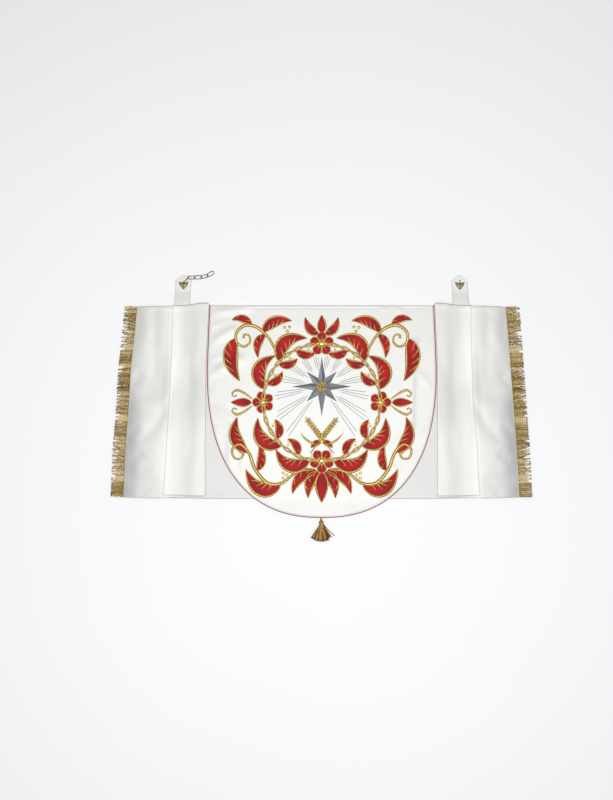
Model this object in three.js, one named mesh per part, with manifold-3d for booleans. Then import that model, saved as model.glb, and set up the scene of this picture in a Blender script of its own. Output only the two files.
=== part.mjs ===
// A humeral veil laid out face up on a flat surface: a long satin strip with a deep box pleat
// at each side, flared ends finished with a cut fringe, a U-shaped hood panel edged with piping
// and tipped with a tassel, and two pointed tabs that carry a clasp with a short chain and a
// clasp with a hook. Millimetres; X runs along the strip, Y up the cloth, Z off the surface.
import * as THREE from 'three';
import { mergeVertices } from 'three/addons/utils/BufferGeometryUtils.js';
import Module from 'manifold-3d';

const wasm = await Module();
wasm.setup();

// ---------------------------------------------------------------- driving dimensions
const FRAME_SHIFT = { x: 0.46, y: -0.65 }; // puts the origin at the middle of the outline
const GAP = 0.3; // between pieces that are sewn or lie together

const CLOTH_T = 1.2; // the strip, satin on its interlining
const LAYER_PITCH = 1.8; // from one folded layer to the next
const HIDDEN_OUT = 12; // the lower hidden fold stops this far short of the outer fold
const HIDDEN_IN = 14; // the upper hidden fold stops this far short of the inner fold
const OUT_OF_PLEAT = 0.16; // share of the end panel by which it is clear of the pleat
const FOLD_STEPS = 5; // facets round a fold
const STATIONS = 13; // sections down the strip

const HOOD_T = 1.6; // hood panel with its interlining
const HOOD_LIFT = 2.0; // underside of the hood over the strip
const HOOD_TOP = 284.2; // its straight upper edge
const HOOD_WAIST_Y = 102.5; // its widest line
const HOOD_HALF = 320.3; // half width there, to the middle of the piping
const HOOD_DROP = 413.0; // from the widest line to the tip, to the middle of the piping
const HOOD_POWER = 2.37; // fullness of the lower curve
const HOOD_NARROWING = 7.3; // how much narrower each side is at the upper edge
const HEM_RISE = 2.2; // the hood rides over the strip's hem
const HEM_Y = -258.6;
const TIP_LIFT = 0.6; // underside of the hood past the hem

const PIPING_R = 1.25;
const PIPING_SIDES = 6;

const FRINGE_T = 2.0;
const FRINGE_HEADING = 7;
const SEAM_TURN = 0.2; // the cut end leans over its seam by this much
const FRINGE_TEETH = 44;
const FRINGE_SLIT = 3.2;
const FRINGE_REACH = { left: { top: 37.8, bottom: 36.2 }, right: { top: 41.0, bottom: 37.4 } }; // seam to cut ends

const TAB_T = 1.6;
const TAB_ROOT_Z = 3.0;
const TAB_RUN_DOWN = 38;

const PLATE_T = 1.6;
const ARCH_Y = 7.2; // the eye stands this far above the plate's middle
const ARCH_R = 2.6; // eye on the chain side's clasp
const ARCH_WIRE_R = 0.9;
const ARCH_TOP_Z = 7.6; // middle of its wire
const HOOK_WIRE_R = 1.0;

const LINK_HALF_LENGTH = 11.5;
const LINK_HALF_WIDTH = 6.0;
const LINK_WIRE_R = 1.0;
const LINK_SLACK = 0.65; // play where two links meet
const LINK_ROLL = 30; // each link leans the other way from the last
const BAIL_WIRE_R = 0.8;
const BAIL_HALF_WIDTH = 2.9; // to the middle of its wire
const BAIL_REACH = 20.5; // from the eye to the first link
const BAIL_END_Z = 5.6; // height at which the first link hangs in it
const BAIL_PLAY = 1.1; // play of the first link in the bail

// ---------------------------------------------------------------- tables
// fold lines and cut ends, as distances outwards from the middle, down the cloth
const FOLDS = {
  left: [
    { y: 283.0, inner: 314.9, outer: 416.4, end: 515.0 },
    { y: 214.5, inner: 318.4, outer: 418.6, end: 521.5 },
    { y: 158.0, inner: 321.4, outer: 420.0, end: 527.4 },
    { y: 102.5, inner: 323.6, outer: 422.3, end: 533.3 },
    { y: -9.5, inner: 324.1, outer: 428.0, end: 539.7 },
    { y: -121.5, inner: 325.8, outer: 435.2, end: 548.1 },
    { y: -191.5, inner: 325.0, outer: 439.4, end: 551.4 },
    { y: -258.6, inner: 325.0, outer: 444.6, end: 554.8 },
  ],
  right: [
    { y: 283.0, inner: 315.2, outer: 417.9, end: 513.4 },
    { y: 214.5, inner: 318.6, outer: 417.9, end: 518.7 },
    { y: 158.0, inner: 321.3, outer: 419.3, end: 522.9 },
    { y: 102.5, inner: 322.5, outer: 420.7, end: 527.1 },
    { y: -9.5, inner: 322.5, outer: 424.3, end: 535.5 },
    { y: -121.5, inner: 322.7, outer: 434.7, end: 543.9 },
    { y: -191.5, inner: 322.7, outer: 437.9, end: 548.6 },
    { y: -258.6, inner: 322.7, outer: 442.8, end: 552.8 },
  ],
};
// upper and lower edge of the strip where it turns
const EDGES = {
  left: {
    middle: { top: 283.0, bottom: -258.6 },
    hiddenOut: { top: 281.0, bottom: -256.6 },
    inner: { top: 287.4, bottom: -250.3 },
    outer: { top: 282.0, bottom: -247.0 },
    hiddenIn: { top: 279.6, bottom: -252.8 },
    emerge: { top: 281.3, bottom: -257.2 },
    end: { top: 280.3, bottom: -254.5 },
  },
  right: {
    middle: { top: 283.0, bottom: -258.6 },
    hiddenOut: { top: 281.0, bottom: -256.6 },
    inner: { top: 287.2, bottom: -250.5 },
    outer: { top: 283.8, bottom: -248.5 },
    hiddenIn: { top: 279.6, bottom: -254.6 },
    emerge: { top: 282.0, bottom: -257.2 },
    end: { top: 279.4, bottom: -254.5 },
  },
};
// soft shape across the pleat's face, from its inner to its outer fold: its lift at three heights,
// and how far its upper edge rises
const PLEAT_FACE = [
  { u: 0, upper: 4.2, middle: 5.4, lower: 2.8, rise: 0.0 },
  { u: 0.06, upper: 4.15, middle: 5.3, lower: 2.8, rise: 0.6 },
  { u: 0.15, upper: 4.05, middle: 5.0, lower: 2.75, rise: 1.5 },
  { u: 0.25, upper: 3.65, middle: 4.3, lower: 2.6, rise: 1.4 },
  { u: 0.36, upper: 2.9, middle: 3.1, lower: 2.2, rise: 0.8 },
  { u: 0.5, upper: 2.2, middle: 1.7, lower: 1.75, rise: -0.2 },
  { u: 0.64, upper: 2.05, middle: 1.15, lower: 1.5, rise: -0.4 },
  { u: 0.8, upper: 2.6, middle: 1.05, lower: 1.95, rise: -0.3 },
  { u: 0.92, upper: 3.5, middle: 1.3, lower: 2.6, rise: 0.0 },
  { u: 1, upper: 4.1, middle: 1.65, lower: 3.2, rise: 0.0 },
];
// soft shape across the end panel, from where it leaves the pleat to the fringe
const END_FACE = [
  { u: 0.0, lift: 3.6 },
  { u: 0.1, lift: 3.9 },
  { u: 0.2, lift: 4.6 },
  { u: 0.32, lift: 5.3 },
  { u: 0.46, lift: 5.5 },
  { u: 0.6, lift: 5.5 },
  { u: 0.71, lift: 5.3 },
  { u: 0.8, lift: 4.8 },
  { u: 0.88, lift: 3.8 },
  { u: 0.94, lift: 2.5 },
  { u: 1.0, lift: 0.7 },
];
// soft puckers of the hood panel: a ridge from a to b
const PUCKERS = [
  { ax: -318, ay: 88, bx: -228, by: 132, height: 2.2, spread: 13 },
  { ax: -316, ay: 178, bx: -250, by: 214, height: 2.0, spread: 12 },
  { ax: -312, ay: 262, bx: -205, by: 276, height: 1.6, spread: 12 },
  { ax: -300, ay: -8, bx: -248, by: -40, height: 1.6, spread: 14 },
  { ax: 258, ay: 180, bx: 250, by: -60, height: 1.6, spread: 10 },
  { ax: -246, ay: -60, bx: -258, by: -150, height: 1.4, spread: 12 },
];
// sections of the tassel along its length
const TASSEL = [
  { y: -312.2, x: -2.0, halfWidth: 1.6, halfHeight: 1.5 },
  { y: -314.6, x: -2.0, halfWidth: 3.3, halfHeight: 2.9 },
  { y: -317.6, x: -1.8, halfWidth: 2.2, halfHeight: 2.0 },
  { y: -321.5, x: -2.0, halfWidth: 6.4, halfHeight: 4.4 },
  { y: -328.0, x: -0.6, halfWidth: 7.6, halfHeight: 5.0 },
  { y: -344.0, x: 1.6, halfWidth: 16.0, halfHeight: 5.4 },
  { y: -358.0, x: 2.6, halfWidth: 24.0, halfHeight: 5.0 },
  { y: -368.0, x: 2.8, halfWidth: 29.0, halfHeight: 4.4 },
  { y: -374.0, x: 2.2, halfWidth: 22.0, halfHeight: 4.0 },
  { y: -378.0, x: 1.6, halfWidth: 12.0, halfHeight: 3.4 },
];
// pointed tabs: the two sides of the strap and its blunt point
const TABS = {
  left: { rootA: -412.3, rootB: -369.4, shoulderA: -409.5, shoulderB: -364.4, shoulderYa: 353.3, shoulderYb: 354.8, pointA: -390.0, pointB: -381.8, pointY: 368.2 },
  right: { rootA: 366.4, rootB: 412.3, shoulderA: 363.0, shoulderB: 408.7, shoulderYa: 353.3, shoulderYb: 350.0, pointA: 382.6, pointB: 389.0, pointY: 367.9 },
};
const CLASPS = {
  left: { x: -387.0, y: 339.4 },
  right: { x: 386.6, y: 338.2 },
};
// the way each link points, degrees from +X
const LINK_HEADINGS = [3, 1, 15, 30];
const BAIL_HEADING = 46;

// ---------------------------------------------------------------- helpers
const lerp = (a, b, t) => a + (b - a) * t;
const smooth = (a, b, v) => {
  const t = Math.min(1, Math.max(0, (v - a) / (b - a)));
  return t * t * (3 - 2 * t);
};
const rad = (degrees) => (degrees * Math.PI) / 180;

// a column of a table at y, straight between its rows
function column(rows, key, y) {
  for (let i = 1; i < rows.length; i++) {
    if (y >= rows[i].y || i === rows.length - 1) {
      const t = (rows[i - 1].y - y) / (rows[i - 1].y - rows[i].y);
      return lerp(rows[i - 1][key], rows[i][key], Math.min(1, Math.max(0, t)));
    }
  }
  return rows[0][key];
}

function geometryOf(vertices, triangles) {
  const geometry = new THREE.BufferGeometry();
  geometry.setAttribute('position', new THREE.Float32BufferAttribute(vertices.flat(), 3));
  geometry.setIndex(triangles.flat());
  return geometry;
}

// closed sheet from two matching grids of points, the upper and the lower face
function sheet(upper, lower) {
  const rows = upper.length;
  const cols = upper[0].length;
  const vertices = [...upper.flat(), ...lower.flat()];
  const top = (r, c) => r * cols + c;
  const under = (r, c) => rows * cols + r * cols + c;
  const triangles = [];
  const quad = (a, b, c, d) => triangles.push([a, b, c], [a, c, d]);
  for (let r = 0; r < rows - 1; r++) {
    for (let c = 0; c < cols - 1; c++) {
      quad(top(r, c), top(r + 1, c), top(r + 1, c + 1), top(r, c + 1));
      quad(under(r, c), under(r, c + 1), under(r + 1, c + 1), under(r + 1, c));
    }
  }
  for (let c = 0; c < cols - 1; c++) {
    quad(top(0, c), top(0, c + 1), under(0, c + 1), under(0, c));
    quad(top(rows - 1, c + 1), top(rows - 1, c), under(rows - 1, c), under(rows - 1, c + 1));
  }
  for (let r = 0; r < rows - 1; r++) {
    quad(top(r + 1, 0), top(r, 0), under(r, 0), under(r + 1, 0));
    quad(top(r, cols - 1), top(r + 1, cols - 1), under(r + 1, cols - 1), under(r, cols - 1));
  }
  return geometryOf(vertices, triangles);
}

// closed body from rings of points, each ring the same number, with flat ends
function loft(rings) {
  const n = rings[0].length;
  const vertices = rings.flat();
  const triangles = [];
  for (let r = 0; r < rings.length - 1; r++) {
    for (let i = 0; i < n; i++) {
      const j = (i + 1) % n;
      const [a, b, c, d] = [r * n + i, r * n + j, (r + 1) * n + j, (r + 1) * n + i];
      triangles.push([a, b, c], [a, c, d]);
    }
  }
  const last = (rings.length - 1) * n;
  for (let i = 1; i < n - 1; i++) {
    triangles.push([0, i + 1, i], [last, last + i, last + i + 1]);
  }
  return geometryOf(vertices, triangles);
}

// round cord along a path that stays close to level
function cord(path, radius, sides) {
  const rings = path.map((p, i) => {
    const before = path[Math.max(0, i - 1)];
    const after = path[Math.min(path.length - 1, i + 1)];
    const along = new THREE.Vector3(after[0] - before[0], after[1] - before[1], after[2] - before[2]).normalize();
    const side = new THREE.Vector3(0, 0, 1).cross(along).normalize();
    const up = along.clone().cross(side);
    return Array.from({ length: sides }, (_, k) => {
      const a = (2 * Math.PI * (k + 0.5)) / sides;
      const d = side.clone().multiplyScalar(Math.cos(a) * radius).addScaledVector(up, Math.sin(a) * radius);
      return [p[0] + d.x, p[1] + d.y, p[2] + d.z];
    });
  });
  return loft(rings);
}

// wire bent along a curve
function wire(points, radius, steps, sides) {
  const curve = new THREE.CatmullRomCurve3(points.map((p) => new THREE.Vector3(...p)));
  const section = new THREE.Shape(
    Array.from({ length: sides }, (_, k) => {
      const a = (2 * Math.PI * k) / sides;
      return new THREE.Vector2(Math.cos(a) * radius, Math.sin(a) * radius);
    }),
  );
  return new THREE.ExtrudeGeometry(section, { steps, extrudePath: curve, bevelEnabled: false });
}

// ring pulled out to a long oval
function ovalRing(halfLength, halfWidth, wireR, sides, steps) {
  const r = halfWidth - wireR;
  const straight = halfLength - halfWidth;
  const ring = new THREE.TorusGeometry(r, wireR, sides, steps);
  const position = ring.getAttribute('position');
  for (let i = 0; i < position.count; i++) {
    const x = position.getX(i);
    if (Math.abs(x) > 1e-3) position.setX(i, x + Math.sign(x) * straight);
  }
  return closed(ring);
}

function closed(geometry) {
  const plain = geometry.clone();
  plain.deleteAttribute('normal');
  plain.deleteAttribute('uv');
  return mergeVertices(plain, 1e-4);
}

function solid(geometry) {
  const plain = closed(geometry);
  return new wasm.Manifold(
    new wasm.Mesh({
      numProp: 3,
      vertProperties: Float32Array.from(plain.getAttribute('position').array),
      triVerts: Uint32Array.from(plain.getIndex().array),
    }),
  );
}

function geometryFrom(manifold) {
  const mesh = manifold.getMesh();
  const geometry = new THREE.BufferGeometry();
  geometry.setAttribute('position', new THREE.Float32BufferAttribute(Array.from(mesh.vertProperties), 3));
  geometry.setIndex(Array.from(mesh.triVerts));
  return geometry;
}

// ---------------------------------------------------------------- the strip
const LEVEL = [0, 1, 2, 3, 4].map((n) => CLOTH_T / 2 + n * LAYER_PITCH);

// a turn of the cloth from height z0 to z1; way is +1 where it bulges outwards
function turn(tip, z0, z1, way, edge) {
  const r = Math.abs(z1 - z0) / 2;
  const middle = tip - way * (r + CLOTH_T / 2);
  return Array.from({ length: FOLD_STEPS + 1 }, (_, k) => {
    const a = -Math.PI / 2 + (Math.PI * k) / FOLD_STEPS;
    return { d: middle + way * r * Math.cos(a), z: (z0 + z1) / 2 + ((z1 - z0) / 2) * Math.sin(a), edge };
  });
}

const mixEdge = (a, b, t) => ({ top: lerp(a.top, b.top, t), bottom: lerp(a.bottom, b.bottom, t) });

// one section of one side, from the middle outwards to the cut end
function sideSection(side, v) {
  const e = EDGES[side];
  const y = lerp(e.middle.top, e.middle.bottom, v);
  const inner = column(FOLDS[side], 'inner', y);
  const outer = column(FOLDS[side], 'outer', y);
  const end = column(FOLDS[side], 'end', y);
  const lift = (row) => lerp(lerp(row.upper, row.middle, smooth(0.28, 0.46, v)), row.lower, smooth(0.55, 0.74, v));
  const points = [];
  for (const t of [0.5, 0.92]) points.push({ d: inner * t, z: LEVEL[0], edge: e.middle });
  points.push(...turn(outer - HIDDEN_OUT, LEVEL[0], LEVEL[1], 1, e.hiddenOut));
  const innerZ = LEVEL[4] + lift(PLEAT_FACE[0]);
  const outerZ = LEVEL[4] + lift(PLEAT_FACE.at(-1));
  points.push(...turn(inner, LEVEL[1], innerZ, -1, e.inner));
  const faceA = inner + (innerZ - LEVEL[1]) / 2 + CLOTH_T / 2;
  const faceB = outer - (outerZ - LEVEL[3]) / 2 - CLOTH_T / 2;
  for (const row of PLEAT_FACE.slice(1, -1)) {
    const edge = mixEdge(e.inner, e.outer, row.u);
    edge.top += row.rise;
    points.push({ d: lerp(faceA, faceB, row.u), z: LEVEL[4] + lift(row), edge });
  }
  points.push(...turn(outer, outerZ, LEVEL[3], 1, e.outer));
  points.push(...turn(inner + HIDDEN_IN, LEVEL[3], LEVEL[2], -1, e.hiddenIn));
  const down = outer - HIDDEN_OUT + 3;
  const swell = 0.75 + 0.25 * Math.cos(5.2 * v + 1.1) + 0.2 * Math.sin(11 * v);
  for (const row of END_FACE) {
    const out = mixEdge(e.hiddenIn, e.emerge, 0.6 + 0.4 * smooth(0, OUT_OF_PLEAT, row.u));
    const edge = mixEdge(out, e.end, Math.max(0, (row.u - OUT_OF_PLEAT) / (1 - OUT_OF_PLEAT)));
    points.push({ d: lerp(down, end, row.u), z: LEVEL[0] + row.lift * lerp(1, swell, smooth(0, 0.3, row.u)), edge });
  }
  return points;
}

function stripGeometry() {
  const upper = [];
  const lower = [];
  for (let s = 0; s < STATIONS; s++) {
    const v = s / (STATIONS - 1);
    const left = sideSection('left', v).reverse();
    const right = sideSection('right', v);
    const path = [
      ...left.map((p) => ({ x: -p.d, z: p.z, edge: p.edge })),
      { x: 0, z: LEVEL[0], edge: EDGES.left.middle },
      ...right.map((p) => ({ x: p.d, z: p.z, edge: p.edge })),
    ];
    const up = [];
    const down = [];
    path.forEach((p, i) => {
      const a = path[Math.max(0, i - 1)];
      const b = path[Math.min(path.length - 1, i + 1)];
      // the sheet's own normal, the mean of the two faces that meet here
      const n1 = new THREE.Vector2(-(p.z - a.z), p.x - a.x);
      const n2 = new THREE.Vector2(-(b.z - p.z), b.x - p.x);
      if (n1.lengthSq() > 0) n1.normalize();
      if (n2.lengthSq() > 0) n2.normalize();
      const n = n1.clone().add(n2).normalize();
      const flat = p.z === LEVEL[0] && Math.abs(n.x) < 0.2; // what lies on the surface lies flat on it
      const nx = flat ? 0 : n.x;
      const nz = flat ? 1 : n.y;
      const y = lerp(p.edge.top, p.edge.bottom, v);
      up.push([p.x + (nx * CLOTH_T) / 2, y, p.z + (nz * CLOTH_T) / 2]);
      down.push([p.x - (nx * CLOTH_T) / 2, y, Math.max(0, p.z - (nz * CLOTH_T) / 2)]);
    });
    upper.push(up);
    lower.push(down);
  }
  return sheet(upper, lower);
}

// ---------------------------------------------------------------- the hood panel
// half width of the hood at the middle of its piping, less an inset
function hoodSide(y, inset) {
  const t = Math.max(0, (y - HOOD_WAIST_Y) / (HOOD_TOP - HOOD_WAIST_Y));
  return HOOD_HALF - HOOD_NARROWING * Math.pow(t, 1.2) - inset;
}

// the two sides and the lower curve, from the upper left corner round to the upper right
function hoodCurve(inset, sideSteps, curveSteps) {
  const points = [];
  for (let i = 0; i < sideSteps; i++) {
    const y = lerp(HOOD_TOP, HOOD_WAIST_Y, i / sideSteps);
    points.push([-hoodSide(y, inset), y]);
  }
  for (let i = 0; i <= curveSteps; i++) {
    const a = Math.PI * (i / curveSteps);
    const c = Math.cos(a);
    const s = Math.sin(a);
    points.push([
      -Math.sign(c) * Math.pow(Math.abs(c), 2 / HOOD_POWER) * (HOOD_HALF - inset),
      HOOD_WAIST_Y - Math.pow(s, 2 / HOOD_POWER) * (HOOD_DROP - inset),
    ]);
  }
  for (let i = sideSteps - 1; i >= 0; i--) {
    const y = lerp(HOOD_TOP, HOOD_WAIST_Y, i / sideSteps);
    points.push([hoodSide(y, inset), y]);
  }
  return points;
}

// underside of the hood above the surface
function hoodUnder(x, y) {
  const over = CLOTH_T + HOOD_LIFT - 1.2 + HEM_RISE * Math.exp(-(((y - HEM_Y - 3) / 15) ** 2));
  let z = lerp(over, TIP_LIFT, smooth(HEM_Y - 6, HEM_Y - 42, y));
  for (const p of PUCKERS) {
    const dx = p.bx - p.ax;
    const dy = p.by - p.ay;
    const t = Math.min(1, Math.max(0, ((x - p.ax) * dx + (y - p.ay) * dy) / (dx * dx + dy * dy)));
    const away = Math.hypot(x - p.ax - t * dx, y - p.ay - t * dy);
    z += p.height * Math.exp(-((away / p.spread) ** 2)) * smooth(0, 40, HOOD_HALF - Math.abs(x));
  }
  return z;
}

const HOOD_SIDE_STEPS = 5;
const HOOD_CURVE_STEPS = 40;

function hoodGeometry() {
  const inset = PIPING_R + GAP + 0.05;
  const curve = hoodCurve(inset, HOOD_SIDE_STEPS, HOOD_CURVE_STEPS);
  const [xa, xb] = [curve[0][0], curve[curve.length - 1][0]];
  const edge = [...curve];
  for (let i = 1; i < 14; i++) edge.push([lerp(xb, xa, i / 14), HOOD_TOP + 0.5 * Math.sin((5 * Math.PI * i) / 14)]);
  const middle = [0, 20];
  const rings = [1, 0.93, 0.83, 0.68, 0.48, 0.25];
  const vertices = [];
  for (const raise of [HOOD_T, 0]) {
    for (const s of rings) {
      for (const [ex, ey] of edge) {
        const x = lerp(middle[0], ex, s);
        const y = lerp(middle[1], ey, s);
        vertices.push([x, y, hoodUnder(x, y) + raise]);
      }
    }
    vertices.push([...middle, hoodUnder(...middle) + raise]);
  }
  const n = edge.length;
  const face = rings.length * n + 1;
  const triangles = [];
  for (let i = 0; i < n; i++) {
    const j = (i + 1) % n;
    for (let r = 0; r < rings.length - 1; r++) {
      const [a, b, c, d] = [r * n + i, r * n + j, (r + 1) * n + j, (r + 1) * n + i];
      triangles.push([a, b, c], [a, c, d]);
      triangles.push([face + a, face + c, face + b], [face + a, face + d, face + c]);
    }
    const last = (rings.length - 1) * n;
    triangles.push([last + i, last + j, face - 1]);
    triangles.push([face + last + j, face + last + i, 2 * face - 1]);
    triangles.push([i, face + i, face + j], [i, face + j, j]);
  }
  return geometryOf(vertices, triangles);
}

function pipingGeometry() {
  const curve = hoodCurve(0, HOOD_SIDE_STEPS, HOOD_CURVE_STEPS);
  const inner = hoodCurve(PIPING_R + GAP + 0.05, HOOD_SIDE_STEPS, HOOD_CURVE_STEPS);
  return cord(curve.map(([x, y], i) => [x, y, hoodUnder(...inner[i]) + HOOD_T / 2]), PIPING_R, PIPING_SIDES);
}

// ---------------------------------------------------------------- fringe and tassel
function fringeGeometry(side, way) {
  const rows = FOLDS[side];
  const e = EDGES[side].end;
  const seam = (y) => {
    // the cut end runs over the same sections as the strip
    const v = ((e.top - y) / (e.top - e.bottom)) * (STATIONS - 1);
    const k = Math.min(STATIONS - 2, Math.max(0, Math.floor(v)));
    const at = (s) => column(rows, 'end', lerp(EDGES[side].middle.top, EDGES[side].middle.bottom, s / (STATIONS - 1)));
    return lerp(at(k), at(k + 1), v - k) + GAP + SEAM_TURN;
  };
  const outline = new THREE.Shape();
  const top = e.top;
  const bottom = e.bottom;
  for (let s = 0; s < STATIONS; s++) {
    const y = lerp(top, bottom, s / (STATIONS - 1));
    if (s === 0) outline.moveTo(way * seam(y), y);
    else outline.lineTo(way * seam(y), y);
  }
  const pitch = (top - bottom) / FRINGE_TEETH;
  for (let k = FRINGE_TEETH - 1; k >= 0; k--) {
    const low = top - (k + 1) * pitch + (k === FRINGE_TEETH - 1 ? 0 : FRINGE_SLIT / 2);
    const high = top - k * pitch - (k === 0 ? 0 : FRINGE_SLIT / 2);
    const reach = lerp(FRINGE_REACH[side].top, FRINGE_REACH[side].bottom, k / (FRINGE_TEETH - 1)) - 2.2 * Math.abs(Math.sin(k * 2.3 + 0.4));
    if (k < FRINGE_TEETH - 1) outline.lineTo(way * (seam(low) + FRINGE_HEADING), low);
    outline.lineTo(way * (seam(low) + reach), low);
    outline.lineTo(way * (seam(high) + reach), high);
    if (k > 0) outline.lineTo(way * (seam(high) + FRINGE_HEADING), high);
  }
  return new THREE.ExtrudeGeometry(outline, { depth: FRINGE_T, bevelEnabled: false });
}

function tasselGeometry() {
  const sides = 16;
  const rings = TASSEL.map((row) =>
    Array.from({ length: sides }, (_, k) => {
      const a = (2 * Math.PI * k) / sides;
      return [row.x + Math.cos(a) * row.halfWidth, row.y, row.halfHeight + Math.sin(a) * row.halfHeight];
    }),
  );
  return loft(rings);
}

// ---------------------------------------------------------------- tabs and clasps
// upper edge of the pleat's face at x, where a tab is sewn
function pleatTop(side, x) {
  const e = EDGES[side];
  const d = Math.abs(x);
  const a = FOLDS[side][0].inner + (LEVEL[4] + PLEAT_FACE[0].upper - LEVEL[1]) / 2 + CLOTH_T / 2;
  const b = FOLDS[side][0].outer - (LEVEL[4] + PLEAT_FACE.at(-1).upper - LEVEL[3]) / 2 - CLOTH_T / 2;
  const u = (d - a) / (b - a);
  let rise = PLEAT_FACE[0].rise;
  for (let i = 1; i < PLEAT_FACE.length; i++) {
    const t = (u - PLEAT_FACE[i - 1].u) / (PLEAT_FACE[i].u - PLEAT_FACE[i - 1].u);
    if (t >= 0) rise = lerp(PLEAT_FACE[i - 1].rise, PLEAT_FACE[i].rise, Math.min(1, t));
  }
  return lerp(e.inner.top, e.outer.top, u) + rise;
}

function tabGeometry(side) {
  const t = TABS[side];
  const across = 4;
  const rows = [];
  const runs = [0, 0.1, 0.2, 0.3, 0.4, 0.5, 0.58, 0.8, 1];
  for (const w of runs) {
    rows.push(
      Array.from({ length: across + 1 }, (_, c) => {
        const f = c / across;
        const rootX = lerp(t.rootA, t.rootB, f);
        const x = lerp(rootX, lerp(t.shoulderA, t.shoulderB, f), w);
        return [x, lerp(pleatTop(side, rootX) + GAP + 0.1, lerp(t.shoulderYa, t.shoulderYb, f), w)];
      }),
    );
  }
  rows.push(
    Array.from({ length: across + 1 }, (_, c) => [lerp(t.pointA, t.pointB, c / across), t.pointY]),
  );
  const root = pleatTop(side, t.rootA);
  const under = (y) => TAB_ROOT_Z * (1 - smooth(root, root + TAB_RUN_DOWN, y));
  const upper = rows.map((row) => row.map(([x, y]) => [x, y, under(y) + TAB_T])).reverse();
  const lower = rows.map((row) => row.map(([x, y]) => [x, y, under(y)])).reverse();
  return sheet(upper, lower);
}

// pierced heart-shaped plate
function plateGeometry() {
  const plate = new THREE.Shape();
  plate.moveTo(0, -9.8);
  plate.quadraticCurveTo(7.4, -3.4, 12.2, 7.2);
  plate.quadraticCurveTo(11.4, 9.6, 8.6, 8.8);
  plate.quadraticCurveTo(5.2, 7.2, 2.6, 8.6);
  plate.lineTo(-2.6, 8.6);
  plate.quadraticCurveTo(-5.2, 7.2, -8.6, 8.8);
  plate.quadraticCurveTo(-11.4, 9.6, -12.2, 7.2);
  plate.quadraticCurveTo(-7.4, -3.4, 0, -9.8);
  for (const way of [1, -1]) {
    const slot = new THREE.Path();
    slot.moveTo(way * 1.4, -5.0);
    slot.quadraticCurveTo(way * 6.0, -0.6, way * 8.8, 5.4);
    slot.quadraticCurveTo(way * 6.6, 6.4, way * 5.2, 3.8);
    slot.quadraticCurveTo(way * 3.4, -0.6, way * 1.4, -2.6);
    slot.closePath();
    plate.holes.push(slot);
  }
  return new THREE.ExtrudeGeometry(plate, { depth: PLATE_T, bevelEnabled: false, curveSegments: 5 });
}

const PLATE_Z = TAB_T + GAP;

function eyeClasp() {
  const plate = solid(plateGeometry());
  const a = rad(BAIL_HEADING + 90); // the eye stands across the way the bail leaves it
  const [ax, ay] = [Math.cos(a), Math.sin(a)];
  const at = { x: 0, y: ARCH_Y };
  const top = ARCH_TOP_Z - PLATE_Z;
  const points = [];
  points.push([-ARCH_R, 0.5], [-ARCH_R, top - ARCH_R]);
  for (const k of [1, 2, 3, 4, 5]) points.push([-ARCH_R * Math.cos((Math.PI * k) / 6), top - ARCH_R + ARCH_R * Math.sin((Math.PI * k) / 6)]);
  points.push([ARCH_R, top - ARCH_R], [ARCH_R, 0.5]);
  const arch = solid(wire(points.map(([d, z]) => [at.x + ax * d, at.y + ay * d, z]), ARCH_WIRE_R, 16, 8));
  return geometryFrom(plate.add(arch));
}

function hookClasp() {
  const plate = solid(plateGeometry());
  const bend = [
    [0, 3.5, 1.15],
    [0, 8.0, 1.2],
    [0, 12.6, 1.7],
    [0, 15.6, 3.4],
    [0, 15.4, 5.8],
    [0, 12.6, 6.9],
    [0, 9.2, 6.5],
  ];
  const hook = solid(wire(bend, HOOK_WIRE_R, 18, 8));
  return geometryFrom(plate.add(hook));
}

// ---------------------------------------------------------------- assembly
const veil = new THREE.Group();
veil.position.set(FRAME_SHIFT.x, FRAME_SHIFT.y, 0);

const satin = { color: 0xeeede8, roughness: 0.5, metalness: 0.0 };
const hoodSatin = { color: 0xf6f5f0, roughness: 0.5, metalness: 0.0 };
const redCord = { color: 0x8a2630, roughness: 0.7, metalness: 0.0 };
const gold = { color: 0xb08a34, roughness: 0.45, metalness: 0.6 };
const oldGold = { color: 0xa8955a, roughness: 0.4, metalness: 0.9 };
const oldBrass = { color: 0x8a6248, roughness: 0.4, metalness: 0.9 };

function add(name, geometry, look, parent = veil) {
  const mesh = new THREE.Mesh(geometry, new THREE.MeshStandardMaterial(look));
  mesh.name = name;
  parent.add(mesh);
  return mesh;
}

add('veil_cloth', stripGeometry(), satin);
add('hood_panel', hoodGeometry(), hoodSatin);
add('hood_piping', pipingGeometry(), redCord);
add('fringe_left', fringeGeometry('left', -1), gold);
add('fringe_right', fringeGeometry('right', 1), gold);
add('tassel', tasselGeometry(), gold);
add('tab_left', tabGeometry('left'), satin);
add('tab_right', tabGeometry('right'), satin);

const eye = add('clasp_left', eyeClasp(), oldGold);
eye.position.set(CLASPS.left.x, CLASPS.left.y, PLATE_Z);
const hook = add('clasp_right', hookClasp(), oldGold);
hook.position.set(CLASPS.right.x, CLASPS.right.y, PLATE_Z);

// sets an oval ring with its length along e1 and its width along e2
function place(mesh, centre, e1, e2) {
  const e3 = e1.clone().cross(e2).normalize();
  const side = e3.clone().cross(e1).normalize();
  mesh.quaternion.setFromRotationMatrix(new THREE.Matrix4().makeBasis(e1, side, e3));
  mesh.position.copy(centre);
}

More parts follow.
